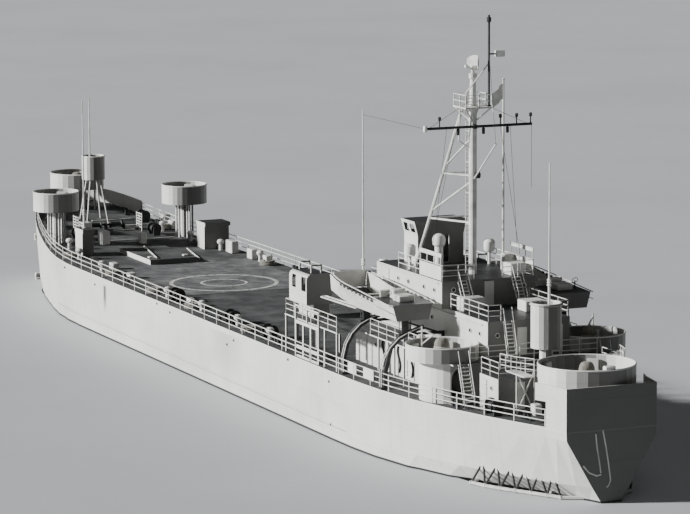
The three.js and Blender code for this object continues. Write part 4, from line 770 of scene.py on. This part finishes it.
# Davits: light edge flats up each track, falls from the heads to the boats, feet on the deck
TRACK = np.array([(0.722, 0.0), (0.722, 0.110), (0.700, 0.195), (0.660, 0.262), (0.600, 0.318),
                  (0.520, 0.356), (0.440, 0.380)])
edges, falls = [], []
for x in (-2.620, -3.230):
    for dx in (-0.0135, 0.0135):
        line = row(x + dx, TRACK[:, 0] + 0.009, DECK + TRACK[:, 1] + 0.004)
        stops = np.linspace(0.0, len(TRACK) - 1.0, 25)
        smooth = np.stack([np.interp(stops, np.arange(len(TRACK)), line[:, k]) for k in range(3)], 1)
        edges.append(both(tube(smooth, 0.0038, 6)))
    falls.append(both(rods([(x, 0.520, DECK + 0.37), (x, 0.600, DECK + 0.33)],
                           [(x, 0.520, 1.30), (x, 0.600, 1.30)], 0.003)))
    falls.append(both(blocks((x - 0.028, 0.690, DECK + 0.0005), (x + 0.028, 0.744, DECK + 0.016), 0.003)))
shell("davit_edges", edges, rail_enamel)
shell("davit_falls", falls, dark_steel)


# Landing boats: gunwale capping, a slotted coaming whose slots are dark plates of painted shade, thwarts, engine
# cover, fender tube and steering wheel
BOAT_Y = 0.560
HELM = (-3.20, 0.660, 1.374)


def boat_half_width(x):
    """The boat's half width at its gunwale: full aft, drawn in a little towards the ramp."""
    return 0.156 - 0.040 * np.clip((x + 2.62) / 0.28, 0.0, 1.0) ** 1.5


def gunwale_height(x):
    """The gunwale's height, rising evenly from the stern to the ramp."""
    return 1.317 + (x + 3.35) / 1.01 * 0.068


caps, slot_shade = [], []
line_x = np.linspace(-3.345, -2.350, 30)
hole_x = np.linspace(-3.06, -2.56, 9)
for s in SIDES:
    gunwale = row(line_x, BOAT_Y + s * boat_half_width(line_x), gunwale_height(line_x) - 0.003)
    strake = gunwale + [0.0, s * 0.001, -0.046]
    caps += [both(tube(gunwale, 0.0042, 6)), both(tube(strake, 0.0032, 6))]
    low = row(hole_x - 0.016, BOAT_Y + s * (boat_half_width(hole_x) + 0.0012) - 0.0022,
              gunwale_height(hole_x) - 0.034)
    slot_shade.append(both(blocks(low, low + [0.032, 0.0044, 0.017], 0.001)))
thwarts = blocks([(-2.985, 0.462, 1.285), (-2.855, 0.462, 1.287), (-2.735, 0.462, 1.290)],
                 [(-2.955, 0.658, 1.293), (-2.825, 0.658, 1.295), (-2.705, 0.658, 1.298)])
engine_cover = blocks([(-3.26, 0.505, 1.318), (-3.14, 0.520, 1.322), (-3.045, 0.47, 1.322)],
                      [(-3.16, 0.615, 1.362), (-3.08, 0.600, 1.385), (-3.030, 0.65, 1.372)], 0.006)
shell("boat_cappings", caps, boat_enamel)
shell("boat_coaming_slot_shade", slot_shade, dark_steel)
shell("boat_benches", [both(thwarts), both(engine_cover)], boat_enamel)
bend = np.radians(np.linspace(-90.0, 90.0, 9))
nose = row(-2.190 + 0.022 * np.cos(bend), 0.672 - 0.022 * np.sin(bend), 1.209)
fender = np.concatenate([[(-2.76, 0.694, 1.217)], nose, [(-2.76, 0.650, 1.217)]])
shell("boat_fenders", [both(tube(fender, 0.0055, 8))], rail_enamel)
wheel = turned(hoop(HELM, 0.020, 0.002, 18), HELM, 60.0, "Y")
shell("boat_steering", [both(rods([(-3.20, 0.660, 1.318)], [(-3.20, 0.660, 1.372)], 0.004)), both(wheel)],
      dark_steel)

# Plates on the main deck rail between the davits
side_plates = blocks([(-2.870, 0.741, DECK + 0.035), (-3.140, 0.738, DECK + 0.035)],
                     [(-2.740, 0.745, DECK + 0.108), (-2.980, 0.742, DECK + 0.108)])
shell("rail_plates", [both(side_plates)], house_enamel)


# Deck gear: bitts, chocks, mushroom ventilators, lockers, battens and hatch struts
def sheer_at(x):
    """The main deck's height, level aft and rising over the bow."""
    return float(np.interp(x, [2.8, 3.1, 3.4, 3.7, 4.0, 4.25, 4.45, 4.65, 4.88],
                           [0.767, 0.773, 0.784, 0.803, 0.832, 0.864, 0.894, 0.926, 0.961]))


bitt = [(0.013, 0.0), (0.013, 0.040), (0.017, 0.044), (0.017, 0.050), (0.010, 0.054)]
gear = []
for x, y in [(4.46, 0.33), (4.05, 0.47), (3.30, 0.62), (1.60, 0.690), (-0.30, 0.690), (-1.40, 0.690),
             (-4.52, 0.330), (-3.98, 0.560)]:
    z = sheer_at(x)
    gear += [both(lathe(bitt, (x - 0.026, y, z), 12)), both(lathe(bitt, (x + 0.026, y, z), 12)),
             both(blocks((x - 0.050, y - 0.018, z), (x + 0.050, y + 0.018, z + 0.005)))]
u = np.radians(np.linspace(-20.0, 200.0, 15))
for x, y in [(4.30, 0.460), (2.60, 0.727), (0.60, 0.730), (-0.90, 0.730), (-4.10, 0.545), (-4.62, 0.372)]:
    horns = row(x + 0.030 * np.cos(u), y, sheer_at(x) + 0.016 + 0.020 * np.sin(u))
    gear.append(both(tube(horns, 0.0052, 6)))
shell("bitts_and_chocks", gear, dark_steel)

mushroom = [(0.016, 0.0), (0.014, 0.05), (0.026, 0.055), (0.030, 0.072), (0.020, 0.086), (0.006, 0.09)]
MUSHROOMS = [(3.42, 0.52), (2.95, 0.60), (2.25, 0.66), (0.80, 0.66), (0.10, 0.66), (-0.60, 0.66),
             (-1.20, 0.66), (-3.98, 0.30), (3.86, 0.44)]
vents = [both(lathe(mushroom, (x, y, sheer_at(x)), 14)) for x, y in MUSHROOMS]
vents.append(both(lathe(mushroom, (-3.30, 0.48, BOAT_DECK), 14)))
shell("mushroom_ventilators", vents, house_enamel)

# Lockers: x, y, then length, width and height
LOCKERS = [(4.13, -0.57, 0.10, 0.055, 0.075), (3.93, -0.56, 0.09, 0.05, 0.07), (3.95, 0.20, 0.11, 0.08, 0.095),
           (3.52, 0.19, 0.10, 0.07, 0.11), (3.46, -0.12, 0.06, 0.05, 0.09), (2.36, 0.52, 0.09, 0.05, 0.05),
           (1.86, 0.56, 0.07, 0.05, 0.045), (2.80, -0.64, 0.13, 0.06, 0.10), (2.42, -0.66, 0.10, 0.05, 0.08),
           (2.10, -0.66, 0.07, 0.05, 0.07), (0.40, 0.63, 0.08, 0.04, 0.06), (-1.10, -0.62, 0.12, 0.06, 0.08),
           (-4.42, 0.22, 0.06, 0.05, 0.07), (-2.00, 0.30, 0.05, 0.05, 0.10)]
low = np.array([(x, y, sheer_at(x)) for x, y, *_ in LOCKERS])
size = np.array([r[2:] for r in LOCKERS])
lockers = blocks(low - size * [0.5, 0.5, 0.0], low + size * [0.5, 0.5, 1.0], 0.004)
shell("deck_lockers", [lockers], house_enamel)

# Battens across the fore deck, and the hatch's struts: one laid on the deck, one with its cleats on the lid
BATTENS = [(4.30, -0.36, 0.02), (4.10, -0.42, 0.02), (3.97, -0.24, -0.05), (3.60, -0.44, 0.12)]
strips = [rods((x, y0, sheer_at(x) + 0.005), (x, y1, sheer_at(x) + 0.005), 0.006, 8) for x, y0, y1 in BATTENS]
strips.append(rods((3.13, -0.380, DECK + 0.006), (2.56, -0.270, DECK + 0.006), 0.006, 8))
shell("deck_battens", strips, rail_enamel)
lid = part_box("hatch_cover")[1][2]
strut = rods((3.12, -0.010, lid + 0.006), (2.47, 0.122, lid + 0.006), 0.006, 8)
cleat_top = lid + np.array([0.004, 0.004, 0.012, 0.012])
cleats = blocks(row([3.02, 2.54, 2.52, 2.52], [-0.010, 0.090, -0.16, 0.14], lid - 0.001),
                row([3.05, 2.57, 2.56, 2.56], [0.022, 0.122, -0.12, 0.17], cleat_top))
shell("hatch_strut", [strut, cleats], rail_enamel, "hatch_cover")

# Rope coils in flat stacked turns, and wire reels on stands, along the deck edge
coil = [(0.026, 0.0), (0.058, 0.0), (0.064, 0.007), (0.058, 0.013), (0.064, 0.020), (0.057, 0.026),
        (0.062, 0.033), (0.052, 0.040), (0.030, 0.036)]
COILS = [(3.95, 0.500), (3.05, 0.640), (2.05, 0.640), (1.10, 0.655), (0.30, 0.655), (-0.80, 0.655),
         (-3.90, 0.500)]
shell("rope_coils", [both(lathe(coil, (x, y, sheer_at(x)), 24, True)) for x, y in COILS], canvas)
reel = [(0.045, -0.050), (0.045, -0.044), (0.026, -0.042), (0.026, 0.042), (0.045, 0.044), (0.045, 0.050)]
reels = []
for x, y in [(3.75, 0.330), (4.20, 0.400), (0.65, 0.640), (-0.45, 0.640), (-1.15, 0.640), (-4.30, 0.450)]:
    z = sheer_at(x)
    axle = (x, y, z + 0.055)
    foot_x = np.array([x - 0.062, x + 0.052])
    reels += [both(turned(lathe(reel, axle, 20), axle, 90.0, "Y")),
              both(blocks(row(foot_x, y - 0.030, z), row(foot_x + 0.008, y + 0.030, z + 0.070))),
              both(rods((x - 0.064, y, z + 0.055), (x + 0.064, y, z + 0.055), 0.006, 8))]
shell("wire_reels", reels, dark_steel)

# Windlass on the fore deck: two drums on one shaft between side frames
WINDLASS_X = 4.02
fore_z = sheer_at(WINDLASS_X)
shaft_z = fore_z + 0.045
drum = [(0.030, -0.050), (0.030, -0.044), (0.018, -0.040), (0.018, 0.040), (0.030, 0.044), (0.030, 0.050)]
windlass = []
for y in (-0.09, 0.09):
    at = (WINDLASS_X, y, shaft_z)
    windlass.append(turned(lathe(drum, at, 20), at, 90.0, "X"))
windlass.append(rods((WINDLASS_X, -0.16, shaft_z), (WINDLASS_X, 0.16, shaft_z), 0.008, 10))
frame_low = row(3.985, np.array([-0.155, 0.0, 0.155]) - 0.006, fore_z - 0.004)
windlass.append(blocks(frame_low, frame_low + [0.070, 0.012, 0.072], 0.004))
shell("bow_windlass", windlass, dark_steel)

# Slatted rack on the fore deck, beside the lookout
slat_z = np.linspace(0.02, 0.13, 6) + fore_z
rack_x = np.array([4.02, 3.96, 3.90])
rack_foot = np.array([sheer_at(x) for x in rack_x]) - 0.002
shell("slatted_rack", [both(rods(row(4.02, 0.275, slat_z), row(3.90, 0.275, slat_z), 0.004)),
                       both(rods(row(rack_x, 0.275, rack_foot), row(rack_x, 0.275, fore_z + 0.14), 0.005))],
      rail_enamel)

# Stern: the kedge anchor housed on the transom, drawn as paths of (y, z) with each tube's radius
STERN_FACE = -4.9885
ANCHOR = [(0.0050, [(0.107, 0.742), (0.098, 0.66), (0.083, 0.58), (0.072, 0.502)]),
          (0.0050, [(0.059, 0.762), (0.038, 0.66), (0.018, 0.54), (0.006, 0.452), (0.020, 0.420), (0.034, 0.412)]),
          (0.0055, [(0.190, 0.556), (0.150, 0.510), (0.100, 0.488), (0.070, 0.492)])]
shell("stern_anchor", [tube([(STERN_FACE, y, z) for y, z in path], thick, 8) for thick, path in ANCHOR],
      rail_enamel)

# The walkway from the aft house to the stern tub, with crossed braces below it
CROSS = -4.350
truss = [((0.200, 0.0), (0.320, 0.262)), ((0.320, 0.0), (0.200, 0.262)),
         ((0.200, 0.0), (0.200, 0.27)), ((0.320, 0.0), (0.320, 0.27))]
braces = [((CROSS, s * p[0], DECK + p[1]), (CROSS, s * q[0], DECK + q[1])) for s in SIDES for p, q in truss]
shell("walkway_braces", [spans(braces, 0.005)], rail_enamel)
path = level(DECK + 0.275, [(-4.30, 0.407), (-4.45, 0.369), (-4.560, 0.305)])
walk_plates = blocks((-4.560, 0.300, DECK + 0.262), (-4.305, 0.375, DECK + 0.272), 0.003)
shell("walkway", [both(walk_plates), both(railing(path, 0.10, 3, 0.07))], rail_enamel)
shell("stern_rim_box", [blocks((-4.948, -0.050, 1.075), (-4.905, 0.020, 1.135), 0.004)], white_enamel)

# Overboard pipes and fairleads low on the side: a flanged ring round a dark disc, painted shade in the bore
PIPES = [(2.85, 0.729), (2.12, 0.696), (0.75, 0.745), (0.48, 0.719), (-0.65, 0.658), (-0.78, 0.707),
         (-1.77, 0.729), (-2.47, 0.695)]
flanges, bore_shade = [], []
for x, z in PIPES:
    side = 0.762 - max(0.0, x - 2.5) * 0.017
    flanges.append(both(rods((x, side - 0.002, z), (x, side + 0.004, z), 0.011, 12)))
    bore_shade.append(both(rods((x, side, z), (x, side + 0.0052, z), 0.0085, 12)))
shell("overboard_flanges", flanges, hull_enamel)
shell("overboard_bore_shade", bore_shade, tarred_wire)

# A post with two stays in each mid tub
stays = [((-3.575, 0.600, BOAT_DECK + 0.008), (-3.575, 0.600, 1.215)),
         ((-3.575, 0.600, 1.195), (-3.66, 0.520, 1.150)), ((-3.575, 0.600, 1.10), (-3.63, 0.545, 1.165))]
shell("loading_post", [both(spans(stays, 0.0055, 8))], rail_enamel)


def rounded(u, half, power=0.6):
    """One coordinate of a rounded oblong: half times the power of a sine or cosine, with its sign."""
    return half * np.sign(u) * np.abs(u) ** power


# Life float on the boat deck to starboard: two stacked oblong tubes and a slatted floor
u = np.linspace(0.0, 2.0 * np.pi, 33)
floats = [tube(row(-2.23 + rounded(np.cos(u), 0.115), -0.62 + rounded(np.sin(u), 0.062), z), 0.014, 8)
          for z in (1.045, 1.066)]
slat_x = np.linspace(-2.31, -2.15, 7)
floats.append(rods(row(slat_x, -0.678, 1.052), row(slat_x, -0.562, 1.052), 0.004))
shell("life_floats", floats, canvas)

# Hoses that hang on the deck house, and cable trays along the upper houses
drop = np.linspace(0.0, 1.0, 12)
hoses = [both(tube(row(x + 0.020 * np.sin(2.0 * np.pi * drop), 0.438, DECK + 0.215 - 0.19 * drop), 0.006, 6))
         for x in (-2.62, -2.86, -3.06)]
shell("house_hoses", hoses, tarred_wire)
trays = blocks([(-3.80, 0.286, BOAT_DECK + 0.205), (-3.25, 0.331, ROOF - 0.02)],
               [(-2.10, 0.294, BOAT_DECK + 0.215), (-2.30, 0.337, ROOF - 0.008)])
shell("cable_trays", [both(trays)], house_enamel)

# Matt studio floor paint
floor_paint = finish("pale_studio_floor", "#b9bbbd", "#b2b4b6", 3000.0, 40.0, 0.9, 0.2)[0]


def floor_round_hull():
    """A flat ring at the waterline: the inner edge is a rounded oblong just inside the hull's side, where the
    power of |x| and |y| summed is one, and the outer edge a wide circle."""
    n = 96
    t = np.linspace(0.0, 2.0 * np.pi, n, endpoint=False)
    fullness = 5.0
    c, s = np.cos(t), np.sin(t)
    reach = (np.abs(c) ** fullness + np.abs(s) ** fullness) ** (-1.0 / fullness)
    points = np.concatenate([row(4.6 * reach * c, 0.60 * reach * s, WATER), row(80.0 * c, 80.0 * s, WATER)])
    i = np.arange(n)
    j = (i + 1) % n
    faces = np.stack([i, i + n, j + n, j], 1)
    surface("floor", points, faces.tolist(), floor_paint)


floor_round_hull()
